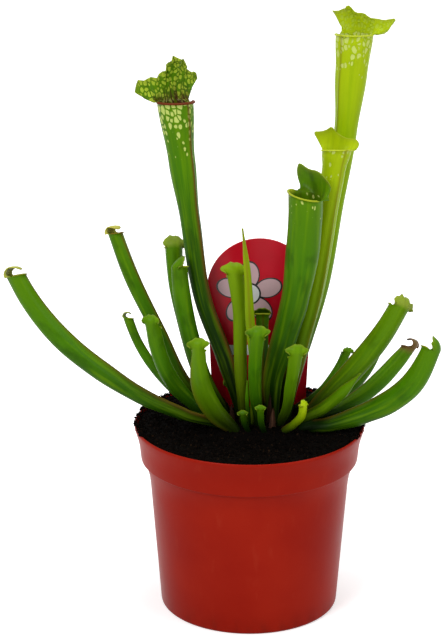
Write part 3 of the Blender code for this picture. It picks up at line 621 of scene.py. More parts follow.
def leaf_tube(blade, path, angles, shrink, rows, lip=0.0, rise=0.0, inside=0.0):
    """Adds rings of the tube: shrink is how far in from the outer skin, lip and rise move the rim."""
    leaf, made = blade.leaf, []
    for k in rows:
        centre, heading, radius, length = path[k]
        share = k / (len(path) - 1)
        axis = Vector((0, 0, 1)) if k == 0 else heading
        front, side = ring_axes(axis, leaf["front"])
        turned = angles - math.radians(leaf["keel_at"])
        keel = np.exp(-((turned * radius / 0.75) ** 2)) * (keel_height(share, leaf["wing"]) if shrink == 0 else 0.0)
        free = np.clip((math.pi - leaf["arc"] - np.abs(angles)) / 0.35, 0, 1)
        wobble = 1 + 0.018 * np.sin(2 * angles + 9 * share) + 0.012 * np.sin(3 * angles - 14 * share)
        reach = (radius - shrink) * wobble + keel + lip * free
        face = np.array(leaf["mouth"], float)
        slant = -(np.cos(angles) * (face @ front) + np.sin(angles) * (face @ side)) / (face @ np.array(axis))
        lift = slant * reach * max(0.0, (share - 0.8) / 0.2) ** 1.5 + rise * free
        ring = (np.array(centre) + np.outer(np.cos(angles) * reach, front) + np.outer(np.sin(angles) * reach, side)
                + np.outer(lift, np.array(axis)))
        count = len(angles)
        place = np.tile([share ** leaf["late"], 0.0, 0.0, inside], (count, 1))
        keeled = np.exp(-((turned * radius / 0.55) ** 2)) * (0.0 if shrink else 1.0) * (share > 0.1)
        glow = leaf["windows"] * np.clip((share - leaf["window_from"]) / (1 - leaf["window_from"]), 0, 1)
        tipped = leaf["brown"] * max(0.0, (share - 0.86) / 0.14)
        marks = np.column_stack([free if lip or rise else np.zeros(count), keeled, np.full(count, glow), np.full(count, tipped)])
        space = np.column_stack([np.cos(angles) * blade.radius, np.sin(angles) * blade.radius, np.full(count, length)]) * MM
        made.append(blade.row(ring * MM, place, marks, space))
    return made


def leaf_hood(blade, path, angles, arc, outer, inner, lip_rows):
    """Adds the hood: a two-sided sheet from the back of the mouth out to a three-lobed outline."""
    leaf = blade.leaf
    hood = leaf["hood"]
    centre, heading, radius, length = path[-1]
    front, side = ring_axes(heading, leaf["front"])
    up = np.array(heading)
    s = np.linspace(-1, 1, len(arc))
    size = 1.0 if hood.get("in_mm", False) else radius
    corner = radius * math.sin(leaf["arc"])
    outline = np.array([(corner, 0)] + [(u * size, v * size) for u, v in hood["outline"]] + [(-corner, 0)], float)
    steps_along = np.concatenate([[0], np.cumsum(np.linalg.norm(np.diff(outline, axis=0), axis=1))])
    edge = smooth_through(steps_along / steps_along[-1] * 2 - 1, outline, s)
    edge_u, edge_v = -edge[:, 0], edge[:, 1]
    reach = edge_v.max()
    steps = 22 if radius > 4.5 else 12
    fine = np.linspace(0, 1.25 * reach, 80)
    lean = np.radians(hood["lean"][0] + (hood["lean"][1] - hood["lean"][0]) * np.clip(fine / reach, 0, 1.25))
    run_front = np.concatenate([[0], np.cumsum(np.sin((lean[1:] + lean[:-1]) / 2) * np.diff(fine))])
    run_up = np.concatenate([[0], np.cumsum(np.cos((lean[1:] + lean[:-1]) / 2) * np.diff(fine))])
    share = np.arange(0, steps + 1)[:, None] / steps
    u = radius * np.sin(leaf["arc"] * s) * (1 - share) + edge_u * share
    v = edge_v * share**1.15
    lean_at = np.interp(v, fine, lean)
    f = np.interp(v, fine, run_front) + np.minimum(v, 0) * math.sin(lean[0])
    h = np.interp(v, fine, run_up) + np.minimum(v, 0) * math.cos(lean[0])
    width = max(np.abs(edge_u).max(), 0.1)
    ruffle = hood["ruffle"] * size * share**2 * np.sin(hood.get("waves", 3) * 2 * math.pi * s + 1.0)
    depth = radius * (1 - np.cos(leaf["arc"] * s)) * (1 - share) ** 1.6 + hood["cup"] * u * u / width + ruffle
    normal = np.cos(lean_at)[..., None] * front - np.sin(lean_at)[..., None] * up
    face = np.array(leaf["mouth"], float)
    base = np.array(centre) - front * radius + up * radius * (face @ front) / (face @ up)
    raised = h + u * (face @ side) / (face @ up)
    sheet = base + f[..., None] * front + raised[..., None] * up - u[..., None] * side + depth[..., None] * normal
    rim = np.array([blade.points[i] for i in outer]) / MM
    sheet = sheet + (rim - sheet[0])[None] * ((1 - share) ** 2.5)[..., None]
    across, outward = np.gradient(sheet, axis=1), np.gradient(sheet, axis=0)
    inward = np.cross(outward, across)
    inward /= np.maximum(np.linalg.norm(inward, axis=2, keepdims=True), 1e-9)
    if (inward[1, len(s) // 2] * front).sum() < 0:
        inward = -inward
    thick = np.linalg.norm(np.array([blade.points[i] for i in inner]) / MM - rim, axis=1)[None] * (1 - share) + 0.34 * share
    shell, lining = [outer], [inner]
    for row in range(1, steps + 1):
        t = row / steps
        net = leaf["windows"] * hood.get("net", 0.8)
        straw = hood.get("straw", 0.0) * min(1.0, t * 3)
        for sheets, surface, within in ((shell, sheet[row], 0.0), (lining, sheet[row] + inward[row] * thick[row][:, None], 1.0)):
            count = len(s)
            place = np.tile([1.0, t, t**9, within], (count, 1))
            marks = np.tile([0.0, 0.0, net, leaf["brown"]], (count, 1))
            space = np.column_stack([np.full(count, -blade.radius), -1.35 * u[row], length + 1.35 * v[row]]) * MM
            sheets.append(blade.row(surface * MM, place, marks, space, straw))
    for sheets in (shell, lining):
        for low, high in zip(sheets, sheets[1:]):
            blade.bridge(low, high, closed=False)
    blade.bridge(shell[-1], lining[-1], closed=False)
    for end in (0, -1):
        chain = [shell[0][end]] + [row[end] for row in lip_rows] + [lining[0][end]]
        blade.faces.append(chain + [lining[1][end], shell[1][end]])
        for low, high, under, over in zip(shell[1:], shell[2:], lining[1:], lining[2:]):
            blade.faces.append([low[end], high[end], over[end], under[end]])


def leaf_piece(name, blade, material):
    """Turns a blade into a closed piece that stands for its CAD node."""
    mesh = bpy.data.meshes.new(name)
    mesh.from_pydata([tuple(p) for p in blade.points], [], blade.faces)
    kind = [(blade.leaf["yellow"], blade.leaf["red"], blade.leaf["light"], straw) for straw in blade.straw]
    for label, values in (("place", blade.place), ("marks", blade.marks), ("kind", kind)):
        layer = mesh.attributes.new(label, "FLOAT_COLOR", "POINT")
        layer.data.foreach_set("color", np.asarray(values, np.float32).ravel())
    layer = mesh.attributes.new("space", "FLOAT_VECTOR", "POINT")
    layer.data.foreach_set("vector", np.asarray(blade.space, np.float32).ravel())
    work = bmesh.new()
    work.from_mesh(mesh)
    bmesh.ops.delete(work, geom=[v for v in work.verts if not v.link_faces], context="VERTS")
    bmesh.ops.recalc_face_normals(work, faces=work.faces)
    work.to_mesh(mesh)
    work.free()
    mesh.shade_smooth()
    mesh.materials.append(material)
    made = bpy.data.objects.new(name + "_leaf", mesh)
    bpy.context.scene.collection.objects.link(made)
    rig.replaces(made, name)
    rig.slot(made, "leaf_lime" if blade.leaf["yellow"] > 0.5 else "leaf_green")
    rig.ride(made, "root")
    return made


ORDINARY = dict(yellow=0.0, red=0.15, light=0.0, windows=0.0, window_from=0.6, brown=0.0, keel_at=0, mouth=(0, 0.1, 1), late=1.0, roll=0.16,
                arc=math.radians(78))


def grow_pitcher(name, material, **given):
    """A pitcher: tube, rolled lip, lining and hood."""
    leaf = {**ORDINARY, **given}
    mouth_radius = leaf["stations"][-1][3]
    sides = 96 if mouth_radius > 4.5 else 44
    length = sum((Vector(a[:3]) - Vector(b[:3])).length for a, b in zip(leaf["stations"], leaf["stations"][1:])) + 15
    rows = int(max(18, length / 1.5))
    path = smooth_path(leaf["foot"], leaf["stations"], rows)
    turn = np.linspace(-math.pi, math.pi, sides, endpoint=False)
    angles = turn - 0.2 * np.sin(turn)
    blade = Blade(leaf, mouth_radius)
    wall = min(0.42, 0.22 * mouth_radius)
    outer = leaf_tube(blade, path, angles, 0.0, range(rows + 1))
    roll = min(0.5, 0.16 * mouth_radius) * leaf["roll"] / 0.16
    last = [rows]
    lips = (leaf_tube(blade, path, angles, 0.0, last, roll, 0.15 * roll)
            + leaf_tube(blade, path, angles, 0.0, last, roll * 1.05, 0.8 * roll)
            + leaf_tube(blade, path, angles, wall * 0.5, last, roll * 0.5, 1.25 * roll))
    lining = leaf_tube(blade, path, angles, wall, last, 0.0, 0.9 * roll, 1.0)
    lining += leaf_tube(blade, path, angles, wall, range(rows - 1, int(rows * 0.4), -1), inside=1.0)
    blade.faces.append(outer[0][::-1])
    blade.faces.append(lining[-1])
    for low, high in zip(outer, outer[1:]):
        blade.bridge(low, high)
    for low, high in zip(lining, lining[1:]):
        blade.bridge(low, high)
    order = np.argsort(angles % (2 * math.pi))
    arc = [int(k) for k in order if abs(angles[k] % (2 * math.pi) - math.pi) <= leaf["arc"] + 1e-6]
    inside_arc = [k for k in range(sides) if k in arc and (k + 1) % sides in arc]
    chain = [outer[-1]] + lips + [lining[0]]
    for low, high in zip(chain, chain[1:]):
        blade.bridge(low, high, skip=inside_arc)
    leaf_hood(blade, path, angles, arc, [outer[-1][k] for k in arc], [lining[0][k] for k in arc],
              [[row[k] for k in arc] for row in lips])
    return leaf_piece(name, blade, material)


def grow_spike(name, material, **given):
    """A leaf that is still closed: the same blade, pinched to a point."""
    leaf = {**ORDINARY, **given}
    rows = 60
    path = smooth_path(leaf["foot"], leaf["stations"], rows)
    turn = np.linspace(-math.pi, math.pi, 26, endpoint=False)
    blade = Blade(leaf, 1.8)
    rings = leaf_tube(blade, path, turn - 0.45 * np.sin(turn), 0.0, range(rows + 1))
    blade.faces += [rings[0][::-1], rings[-1]]
    for low, high in zip(rings, rings[1:]):
        blade.bridge(low, high)
    return leaf_piece(name, blade, material)


tissue = leaf_material("pitcher_leaf")
# Hood outlines run from the right of the mouth over the tip to its left, as (across, along),
# in millimetres for the big hoods and in mouth radii for the styles that small leaves share.
SIDE_STRAP = dict(outline=[(1.0, 0.5), (0.95, 1.1), (0.95, 1.8), (0.8, 2.4), (0.4, 2.75), (0, 2.85), (-0.4, 2.75), (-0.8, 2.4),
                           (-0.95, 1.8), (-0.95, 1.1), (-1.0, 0.5)], lean=(-5, 165), cup=0.1, ruffle=0.02)
CAP = dict(outline=[(1.15, 0.3), (1.35, 0.8), (1.1, 1.4), (0.6, 1.95), (0, 2.2), (-0.6, 1.95), (-1.1, 1.4), (-1.35, 0.8),
                    (-1.15, 0.3)], lean=(0, 90), cup=0.42, ruffle=0.08)
CLOSED_CAP = dict(outline=[(1.08, 0.2), (1.25, 0.6), (1.1, 1.1), (0.6, 1.5), (0, 1.7), (-0.6, 1.5), (-1.1, 1.1), (-1.25, 0.6),
                           (-1.08, 0.2)], lean=(0, 110), cup=0.3, ruffle=0.1)
WINGED_CAP = dict(outline=[(1.15, 0.25), (1.6, 0.5), (1.75, 0.95), (1.2, 1.35), (0.5, 1.75), (0, 1.9), (-0.5, 1.75),
                           (-1.2, 1.35), (-1.75, 0.95), (-1.6, 0.5), (-1.15, 0.25)], lean=(5, 100), cup=0.3, ruffle=0.1)

grow_pitcher("pitcher_tall_left", tissue, foot=(-3, 8, 2.0), front=-68, wing=1.3, red=1.0, windows=0.95, window_from=0.8,
             keel_at=24, mouth=(0, 0.1, 1), late=1.5, roll=0.25,
             stations=[(-9.5, 10, 97, 3.4), (-18, 12, 121, 3.4), (-23, 14, 153, 3.8), (-26, 15, 176, 5.2), (-28.5, 15, 198.5, 7.0)],
             hood=dict(in_mm=True, lean=(-12, 38), cup=-0.12, ruffle=1.2, waves=6, net=0.8,
                       outline=[(7.4, 1.8), (10.0, 3.8), (11.8, 6.4), (13.2, 9.2), (11.2, 10.8), (9.0, 11.4), (8.4, 13.8),
                                (7.0, 16.6), (4.6, 18.2), (1.8, 18.2), (0.6, 15.2), (-1.0, 12.0), (-3.8, 9.8), (-7.4, 8.8),
                                (-10.8, 7.8), (-12.4, 5.4), (-11.8, 3.0), (-9.4, 1.6), (-7.4, 1.0)]))
grow_pitcher("pitcher_tall_right", tissue, foot=(11, 10.5, 1.8), front=-112, wing=1.2, yellow=1.0, red=0.1, windows=0.95,
             window_from=0.88, keel_at=-25, mouth=(0, 0.1, 1),
             stations=[(21, 12.5, 103.5, 3.5), (27.5, 14.5, 128, 3.8), (32, 17, 155.5, 3.8), (36.5, 19, 186.5, 4.5),
                       (38.5, 20, 209.5, 6.2), (39.5, 20, 223.5, 7.1)],
             hood=dict(in_mm=True, lean=(-12, 50), cup=-0.12, ruffle=0.6, waves=4, net=0.7,
                       outline=[(7.4, 1.0), (8.8, 0.4), (10.8, 2.2), (12.8, 5.2), (9.8, 5.6), (7.0, 5.4), (3.2, 6.8), (-0.8, 8.6),
                                (-4.0, 10.4), (-5.4, 12.4), (-6.4, 10.2), (-8.4, 8.8), (-12.0, 8.0), (-11.0, 6.4), (-8.8, 4.6),
                                (-7.4, 2.0)]))
grow_pitcher("pitcher_yellow", tissue, foot=(14.5, 4.5, 1.8), front=-98, wing=1.0, yellow=1.0, red=0.1, windows=0.4,
             window_from=0.86, keel_at=40, mouth=(0, 0.25, 1),
             stations=[(20, 3.5, 105, 3.1), (25, 3, 128, 3.5), (29, 2.5, 155.5, 3.7), (31.5, 2, 176, 4.5), (32.5, 2, 183, 5.5)],
             hood=dict(in_mm=True, lean=(-12, 45), cup=-0.12, ruffle=0.25, waves=2, net=0.1,
                       outline=[(5.6, 0.8), (6.6, 0.6), (7.6, 2.2), (6.4, 4.2), (2.4, 5.4), (-1.4, 7.6), (-3.7, 11.2), (-5.6, 8.6),
                                (-7.2, 7.8), (-9.8, 7.4), (-8.2, 4.6), (-6.2, 2.0)]))
grow_pitcher("pitcher_wide_front", tissue, foot=(9.5, 2.5, 2.0), front=-135, wing=1.5, red=0.25, windows=0.4, window_from=0.82,
             keel_at=-30, mouth=(0.22, -0.02, 1),
             stations=[(9.5, 0, 92, 3.3), (13.5, -3, 109.5, 4.3), (17.5, -6, 126.5, 4.9), (20, -10, 149.5, 6.2), (20.5, -12, 169.5, 6.4)],
             hood=dict(in_mm=True, lean=(-18, 30), cup=0.1, ruffle=0.15, waves=2, net=0.05,
                       outline=[(5.6, 0.6), (5.0, 2.2), (5.8, 4.4), (6.2, 6.8), (4.2, 9.0), (0.8, 10.0), (-3.8, 9.6), (-8.2, 10.6),
                                (-9.8, 7.0), (-8.6, 1.4)]))
grow_pitcher("pitcher_far_left", tissue, foot=(-8.5, -5.0, 1.9), front=-8, wing=1.6, red=0.5, mouth=(-0.2, 0.34, 0.93),
             stations=[(-27, -7, 81, 2.4), (-43.5, -9, 89.5, 3.0), (-58, -10, 100, 3.7), (-72.5, -11, 113.5, 3.8),
                       (-83.5, -12, 129, 3.7), (-88, -12, 138, 3.6)], hood={**SIDE_STRAP, "straw": 0.6})
grow_pitcher("pitcher_side_left", tissue, foot=(-11.5, 9.5, 1.6), front=-35, wing=1.0, red=0.7, brown=0.2, mouth=(-0.1, 0.25, 0.95),
             stations=[(-26.5, 13, 88, 2.6), (-36, 19, 106, 2.8), (-47.5, 26, 129, 3.0), (-52.5, 29, 142.5, 2.9)],
             hood={**SIDE_STRAP, "straw": 0.9})
grow_pitcher("pitcher_small_left", tissue, foot=(-13.5, 4.8, 1.4), front=-10, wing=0.6, brown=0.1, mouth=(0.1, 0.32, 0.94),
             stations=[(-25, 8, 80.5, 1.7), (-35, 13, 89, 1.8), (-44.5, 18, 102.5, 1.7), (-47.5, 20, 110.5, 1.9)],
             hood={**SIDE_STRAP, "straw": 0.3})
grow_pitcher("pitcher_front_left", tissue, foot=(-12.5, 0.0, 1.9), front=75, wing=1.0, brown=0.1, mouth=(0.1, 0.5, 0.85),
             stations=[(-22, -0.5, 82.5, 2.5), (-31, -4, 95, 3.1), (-35.5, -7, 108.5, 3.1), (-37, -9, 117, 2.8)], hood=CLOSED_CAP)
grow_pitcher("pitcher_upright_back", tissue, foot=(-8, 13, 1.6), front=105, wing=0.8, red=0.4, brown=0.1, mouth=(0, 0.35, 0.94),
             stations=[(-17.5, 16, 84.5, 2.5), (-25.5, 20, 110, 3.0), (-29, 23, 127.5, 3.2), (-29.5, 24, 138, 3.5)],
             hood={**CAP, "lean": (0, 105), "straw": 0.2})
grow_pitcher("pitcher_upright_front", tissue, foot=(-8.5, 3.5, 1.6), front=25, wing=1.0, mouth=(0, 0.3, 0.95),
             stations=[(-18, 4.5, 90, 2.9), (-23, 5, 107, 3.2), (-26, 5.5, 122.5, 3.3), (-27, 6, 136, 3.1)],
             hood={**CAP, "lean": (30, 80)})
grow_pitcher("pitcher_short_left", tissue, foot=(-4.5, -8.8, 1.7), front=80, wing=2.4, keel_at=105, light=0.12, mouth=(0, 0.5, 0.85),
             stations=[(-12.5, -11, 83.5, 2.7), (-17, -14, 93, 2.9), (-19.5, -19, 111, 2.6)], hood=WINGED_CAP)
grow_pitcher("pitcher_centre_left", tissue, foot=(-2.5, 2, 1.6), front=95, wing=0.9, light=0.35, mouth=(0, 0.5, 0.85),
             stations=[(-3.5, 2.5, 97, 2.5), (-4, 0.5, 120, 2.6), (-5.5, -1, 134.5, 3.2)], hood=WINGED_CAP)
grow_pitcher("pitcher_back_centre", tissue, foot=(4.5, 9.5, 1.5), front=-85, wing=0.7, mouth=(0, 0.3, 0.95), late=1.8,
             stations=[(5, 10, 96.5, 2.3), (5, 10, 109, 2.4), (5, 10, 115.5, 2.7)], hood=CAP)
grow_pitcher("pitcher_front_centre", tissue, foot=(4, -5.5, 1.7), front=85, wing=0.9, mouth=(0, 0.5, 0.85),
             stations=[(2, -11, 92, 2.4), (2, -15, 106, 2.6), (2.5, -18, 115, 2.8)], hood=WINGED_CAP)
grow_pitcher("pitcher_front_tiny", tissue, foot=(6, -11, 1.0), front=90, wing=0.3, mouth=(0, 0.5, 0.85), late=1.5,
             stations=[(4.5, -14, 79, 1.15), (4, -16.5, 85.5, 1.3)], hood=WINGED_CAP)
grow_pitcher("pitcher_tiny_left", tissue, foot=(0.2, -10.3, 0.9), front=80, wing=0.2, mouth=(0, 0.5, 0.85), late=2.0,
             stations=[(-1.8, -11.5, 78, 1.1), (-2.5, -13, 82, 1.3)], hood=WINGED_CAP)
grow_pitcher("pitcher_tiny_back", tissue, foot=(0, 14.5, 1.0), front=-20, wing=0.2, late=2.0,
             stations=[(-5, 15.5, 80, 1.2), (-8, 16, 84, 1.4)], hood=CAP)
grow_pitcher("pitcher_short_right", tissue, foot=(11, -3.5, 1.7), front=95, wing=0.8, light=0.1, mouth=(0, 0.5, 0.85),
             stations=[(14, -9, 83, 1.9), (15.5, -16, 96, 2.2), (17, -21, 109, 2.6)], hood=WINGED_CAP)
grow_pitcher("pitcher_yellow_tiny", tissue, foot=(12.5, -9, 1.3), front=140, wing=0.3, yellow=0.9, light=0.3,
             stations=[(17, -14, 79, 1.4), (20, -17, 84.5, 1.5), (20.2, -17.3, 88, 1.6)], hood=CAP)
grow_pitcher("pitcher_long_right", tissue, foot=(21.5, 0.8, 1.9), front=115, wing=1.5, keel_at=65, light=0.1, red=0.2,
             mouth=(0.4, 0.35, 0.85),
             stations=[(28.5, 0, 82.5, 2.9), (37.5, -1, 92.5, 3.6), (53, -5, 116, 3.9), (56.5, -6, 123.5, 4.0)],
             hood={**CLOSED_CAP, "straw": 0.25, "ruffle": 0.16})
grow_pitcher("pitcher_small_back_right", tissue, foot=(18.5, 12, 1.2), front=110, wing=0.4, mouth=(0.1, 0.4, 0.9),
             stations=[(31, 17, 84, 1.7), (36.5, 21, 91.5, 1.7), (38.5, 22, 95.5, 1.9)], hood=CLOSED_CAP)
grow_pitcher("pitcher_dark_right", tissue, foot=(24, 4.5, 1.7), front=155, wing=0.9, keel_at=30, brown=0.75, red=0.5, mouth=(0.2, 0.32, 0.92),
             stations=[(36, 9, 76.8, 2.3), (45, 12, 81, 2.9), (52, 15, 86.5, 3.1), (58.5, 18, 93, 3.0), (63, 20, 98.5, 2.7)],
             hood=SIDE_STRAP)
grow_pitcher("pitcher_hidden_right", tissue, foot=(21, 9.5, 1.6), front=185, wing=0.7, mouth=(0.1, 0.4, 0.9),
             stations=[(35.5, 17, 78, 2.3), (42, 22, 82.5, 2.7), (47, 26, 88, 2.8), (50.5, 28, 95.5, 2.8)], hood=CAP)
grow_pitcher("pitcher_far_right", tissue, foot=(19.5, -6.2, 1.8), front=150, wing=1.7, keel_at=22, red=0.4, mouth=(0.4, 0.34, 0.87),
             stations=[(31, -10, 76.8, 2.2), (43.5, -13, 82, 3.1), (53.5, -15, 88, 3.8), (61.5, -17, 96, 4.0), (68, -19, 111, 3.7)],
             hood={**CAP, "lean": (-8, 95)})
grow_spike("unopened_leaf_centre", tissue, foot=(1.5, -1.5, 1.2), front=-90, wing=0.5, light=0.45, yellow=0.6,
           stations=[(1.5, -3, 101.5, 1.7), (0, -5, 118.5, 1.8), (-1, -7, 137, 1.4), (-3, -9, 156, 0.35)])
grow_spike("unopened_leaf_front", tissue, foot=(0, -5, 0.8), front=90, wing=0.2,
           stations=[(-1, -10, 87.5, 0.8), (-1, -11.5, 96, 0.3)])
grow_spike("unopened_leaf_right", tissue, foot=(16.5, -2.5, 1.6), front=150, wing=0.8, light=0.1,
           stations=[(29, -7, 83, 2.0), (35, -9.5, 89.5, 2.0), (42, -14, 100, 0.35)])
grow_spike("unopened_leaf_back_right", tissue, foot=(16, 14.5, 0.9), front=190, wing=0.2,
           stations=[(21.5, 16, 76.5, 1.2), (25.5, 17, 79.5, 0.35)])

# ---------------------------------------------------------------- withered leaf bases
# Papery brown scales left by last year's leaves, standing between the new ones, split and
# frayed at the top.
husk_mat, tree, shader, where = finish_material("withered_scale", roughness=0.85, specular=0.2)
fibre = speckle(tree, where, 700, 4, (1, 1, 0.08))
tone = ramp(tree, fibre, [(0.3, (0.012, 0.006, 0.004)), (0.55, (0.06, 0.022, 0.011)), (0.8, (0.17, 0.085, 0.045))])
tree.links.new(tone, shader.inputs["Base Color"])
bumpy(tree, shader, fibre, 0.0003, 0.8)
for name in ("old_leaf_base_1", "old_leaf_base_2", "old_leaf_base_3"):
    low, high = (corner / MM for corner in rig.box(name))
    columns, rows = 9, 22
    lean = 1 if name != "old_leaf_base_3" else -1
    front_face, back_face = [], []
    for i in range(rows + 1):
        t = i / rows
        for j in range(columns + 1):
            s = 2 * j / columns - 1
            frayed = 1 - 0.16 * (0.5 + 0.5 * math.sin(7 * s + 2)) * t
            width = (high.x - low.x) / 2 * (1 - 0.75 * t ** 1.4)
            x = (low.x + high.x) / 2 + lean * 0.4 * t + s * width
            y = (low.y + high.y) / 2 - (high.y - low.y) * 0.35 * (t - 0.5) * lean + 0.45 * s * s
            z = low.z + (high.z - low.z) * t * frayed
            front_face.append((x * MM, (y - 0.12) * MM, z * MM))
            back_face.append((x * MM, (y + 0.12) * MM, z * MM))
    points = front_face + back_face
    total, wide, faces = len(front_face), columns + 1, []
    for i in range(rows):
        for j in range(columns):
            a = i * wide + j
            faces.append([a, a + 1, a + wide + 1, a + wide])
            faces.append([total + a, total + a + wide, total + a + wide + 1, total + a + 1])
    border = ([j for j in range(wide)] + [i * wide + columns for i in range(1, rows + 1)]
              + [rows * wide + j for j in range(columns - 1, -1, -1)] + [i * wide for i in range(rows - 1, 0, -1)])
    for a, b in zip(border, border[1:] + border[:1]):
        faces.append([a, b, total + b, total + a])
    husk = solid_from(name + "_husk", points, faces, husk_mat)
    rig.replaces(husk, name)
    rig.slot(husk, "withered_leaf")
    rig.ride(husk, "root")

# ---------------------------------------------------------------- the plant label
# A die-cut plastic label, red on both sides, with an arched top and a spike below. The front is
# printed with a plain five-petalled flower over a pale band.
label_mat, tree, shader, where = finish_material("label_red", roughness=0.3, specular=0.2)
fade = speckle(tree, where, 60, 3)
tone = blend_colour(tree, band(tree, fade, 0.3, 0.7), (0.50, 0.0010, 0.0120), (0.58, 0.0030, 0.0180))
tree.links.new(tone, shader.inputs["Base Color"])
bumpy(tree, shader, speckle(tree, where, 900, 2), 0.00003, 0.5)
low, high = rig.box("label")
middle = (low + high) / 2
half_width = (high.x - low.x) / 2
arch_z = high.z - half_width


def plate(name, outline, y, thickness, material):
    """A flat plate from an (x, z) outline in metres, its front face at y."""
    count = len(outline)
    points = [(x, y + d, z) for d in (0, thickness) for x, z in outline]
    faces = [list(range(count)), list(range(2 * count - 1, count - 1, -1))]
    faces += [[k, k + count, (k + 1) % count + count, (k + 1) % count] for k in range(count)]
    made = solid_from(name, points, faces, material, merge=False)
    made.data.set_sharp_from_angle(angle=math.radians(30))
    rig.slot(made, "label_red")
    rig.ride(made, "root")
    return made


def arc_points(x, z, radius, start, end, count, squash=1.0, turn=0.0):
    made = []
    for k in range(count):
        angle = math.radians(start + (end - start) * k / (count - 1))
        a, b = radius * math.cos(angle), radius * squash * math.sin(angle)
        made.append((x + a * math.cos(turn) - b * math.sin(turn), z + a * math.sin(turn) + b * math.cos(turn)))
    return made


shoulder, neck = 0.0745, 0.006
side = [(half_width - 0.002, shoulder + 0.0025), (half_width - 0.005, shoulder - 0.0005), (neck, shoulder - 0.002),
        (neck, low.z + 0.014)]
arch = arc_points(0, arch_z, half_width, 180, 0, 49)
outline = [(middle.x + x, z) for x, z in arch + side + [(0, low.z)] + [(-x, z) for x, z in reversed(side)]]
card = plate("plant_label", outline, low.y, high.y - low.y, label_mat)
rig.replaces(card, "label")


def ink(name, colour, roughness=0.35):
    made, tree, shader, where = finish_material(name, roughness=roughness)
    worn = speckle(tree, where, 500, 3)
    tone = blend_colour(tree, band(tree, worn, 0.35, 0.7, 0.0, 0.12), colour, tuple(c * 0.7 for c in colour))
    tree.links.new(tone, shader.inputs["Base Color"])
    return made


black_ink = ink("black_ink", (0.010, 0.010, 0.012))
pale_ink = ink("pale_pink_ink", (0.62, 0.40, 0.44))
white_ink = ink("white_ink", (0.72, 0.72, 0.72))
flower_x, flower_z = middle.x - 0.004, arch_z - 0.002
LAYER = 0.00004
for k in range(5):
    turn = math.radians(90 + 72 * k)
    x, z = flower_x + 0.0078 * math.cos(turn), flower_z + 0.0078 * math.sin(turn)
    for shade, radius, level, mat in (("edge", 0.0057, 1, black_ink), ("fill", 0.0050, 2, pale_ink)):
        shape = arc_points(x, z, radius, 360, 0, 41, 0.72, turn)[:-1]
        plate(f"print_petal_{shade}_{k}", shape, low.y - level * LAYER, 0.00003, mat)
for shade, radius, level, mat in (("edge", 0.0046, 3, black_ink), ("fill", 0.0039, 4, white_ink)):
    plate(f"print_centre_{shade}", arc_points(flower_x, flower_z, radius, 360, 0, 41)[:-1], low.y - level * LAYER, 0.00003, mat)
band_z, band_half = 0.0955, half_width - 0.0065
plate("print_band", [(middle.x - band_half, band_z), (middle.x - band_half, band_z + 0.0042), (middle.x + band_half, band_z + 0.0042),
                     (middle.x + band_half, band_z)], low.y - LAYER, 0.00003, white_ink)

# ---------------------------------------------------------------- floor, light and camera
# A white sweep under soft studio light from the front and above.
floor_mat = bpy.data.materials.new("white_sweep")
floor_mat.use_nodes = True
tree = floor_mat.node_tree
tree.nodes.clear()
matte = node(tree, "ShaderNodeBsdfDiffuse", {"Color": (0.8, 0.8, 0.8, 1)})
away = node(tree, "ShaderNodeVectorMath", {0: node(tree, "ShaderNodeTexCoord").outputs["Object"]}, operation="LENGTH")
glow = node(tree, "ShaderNodeEmission", {"Color": (1, 1, 1, 1), "Strength": band(tree, away.outputs["Value"], 0.04, 0.3, 0.5, 1.0)})
rays = node(tree, "ShaderNodeLightPath")
seen = maths(tree, "MAXIMUM", rays.outputs["Is Camera Ray"], rays.outputs["Is Glossy Ray"])
seen = maths(tree, "MAXIMUM", seen, rays.outputs["Is Transmission Ray"])
both = node(tree, "ShaderNodeAddShader", {0: matte.outputs[0], 1: glow.outputs[0]})
chosen = node(tree, "ShaderNodeMixShader", {0: seen, 1: matte.outputs[0], 2: both.outputs[0]})
node(tree, "ShaderNodeOutputMaterial", {"Surface": chosen.outputs[0]})
mesh = bpy.data.meshes.new("floor")
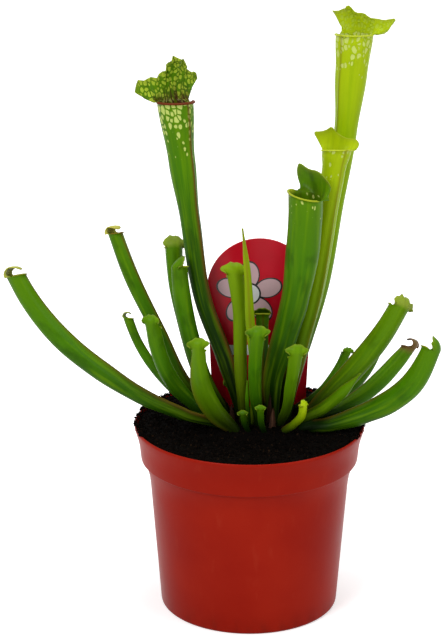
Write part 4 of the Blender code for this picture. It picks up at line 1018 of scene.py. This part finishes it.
mesh.from_pydata([(-3, -3, 0), (3, -3, 0), (3, 3, 0), (-3, 3, 0)], [], [(0, 1, 2, 3)])
mesh.materials.append(floor_mat)
floor = bpy.data.objects.new("floor", mesh)
bpy.context.scene.collection.objects.link(floor)
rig.stage(floor)

world = bpy.data.worlds.new("studio")
bpy.context.scene.world = world
world.use_nodes = True
tree = world.node_tree
tree.nodes.clear()
rays = node(tree, "ShaderNodeLightPath")
seen = maths(tree, "MAXIMUM", rays.outputs["Is Camera Ray"], rays.outputs["Is Glossy Ray"])
seen = maths(tree, "MAXIMUM", seen, rays.outputs["Is Transmission Ray"])
plain = node(tree, "ShaderNodeBackground", {"Color": (1, 1, 1, 1), "Strength": 0.36})
bright = node(tree, "ShaderNodeBackground", {"Color": (1, 1, 1, 1), "Strength": 1.0})
sky = node(tree, "ShaderNodeMixShader", {0: seen, 1: plain.outputs[0], 2: bright.outputs[0]})
node(tree, "ShaderNodeOutputWorld", {"Surface": sky.outputs[0]})


def softbox(name, place, aim, size, power):
    lamp = bpy.data.lights.new(name, "AREA")
    lamp.shape = "DISK"
    lamp.size = size
    lamp.energy = power
    made = bpy.data.objects.new(name, lamp)
    bpy.context.scene.collection.objects.link(made)
    made.location = place
    made.rotation_euler = (Vector(aim) - Vector(place)).to_track_quat("-Z", "Y").to_euler()


softbox("key", (-0.55, -0.75, 0.85), (0, 0, 0.12), 0.5, 7.8)
softbox("fill", (0.75, -0.55, 0.45), (0, 0, 0.1), 0.6, 3.0)
softbox("top", (0.1, 0.15, 1.0), (0, 0, 0.1), 0.5, 3.6)

lens = bpy.data.cameras.new("camera")
lens.sensor_fit = "VERTICAL"
lens.sensor_height = 36.0
lens.lens = 131.4
camera = bpy.data.objects.new("camera", lens)
bpy.context.scene.collection.objects.link(camera)
camera.location = (-0.0105, -0.850, 0.406)
camera.rotation_euler = (math.radians(90 - 18.8), 0, 0)
bpy.context.scene.camera = camera
bpy.context.scene.view_settings.view_transform = "Standard"

visual_box = [list(corner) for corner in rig.bounds()]
json.dump({"cad": cad_box, "visual": visual_box}, open("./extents.json", "w"))
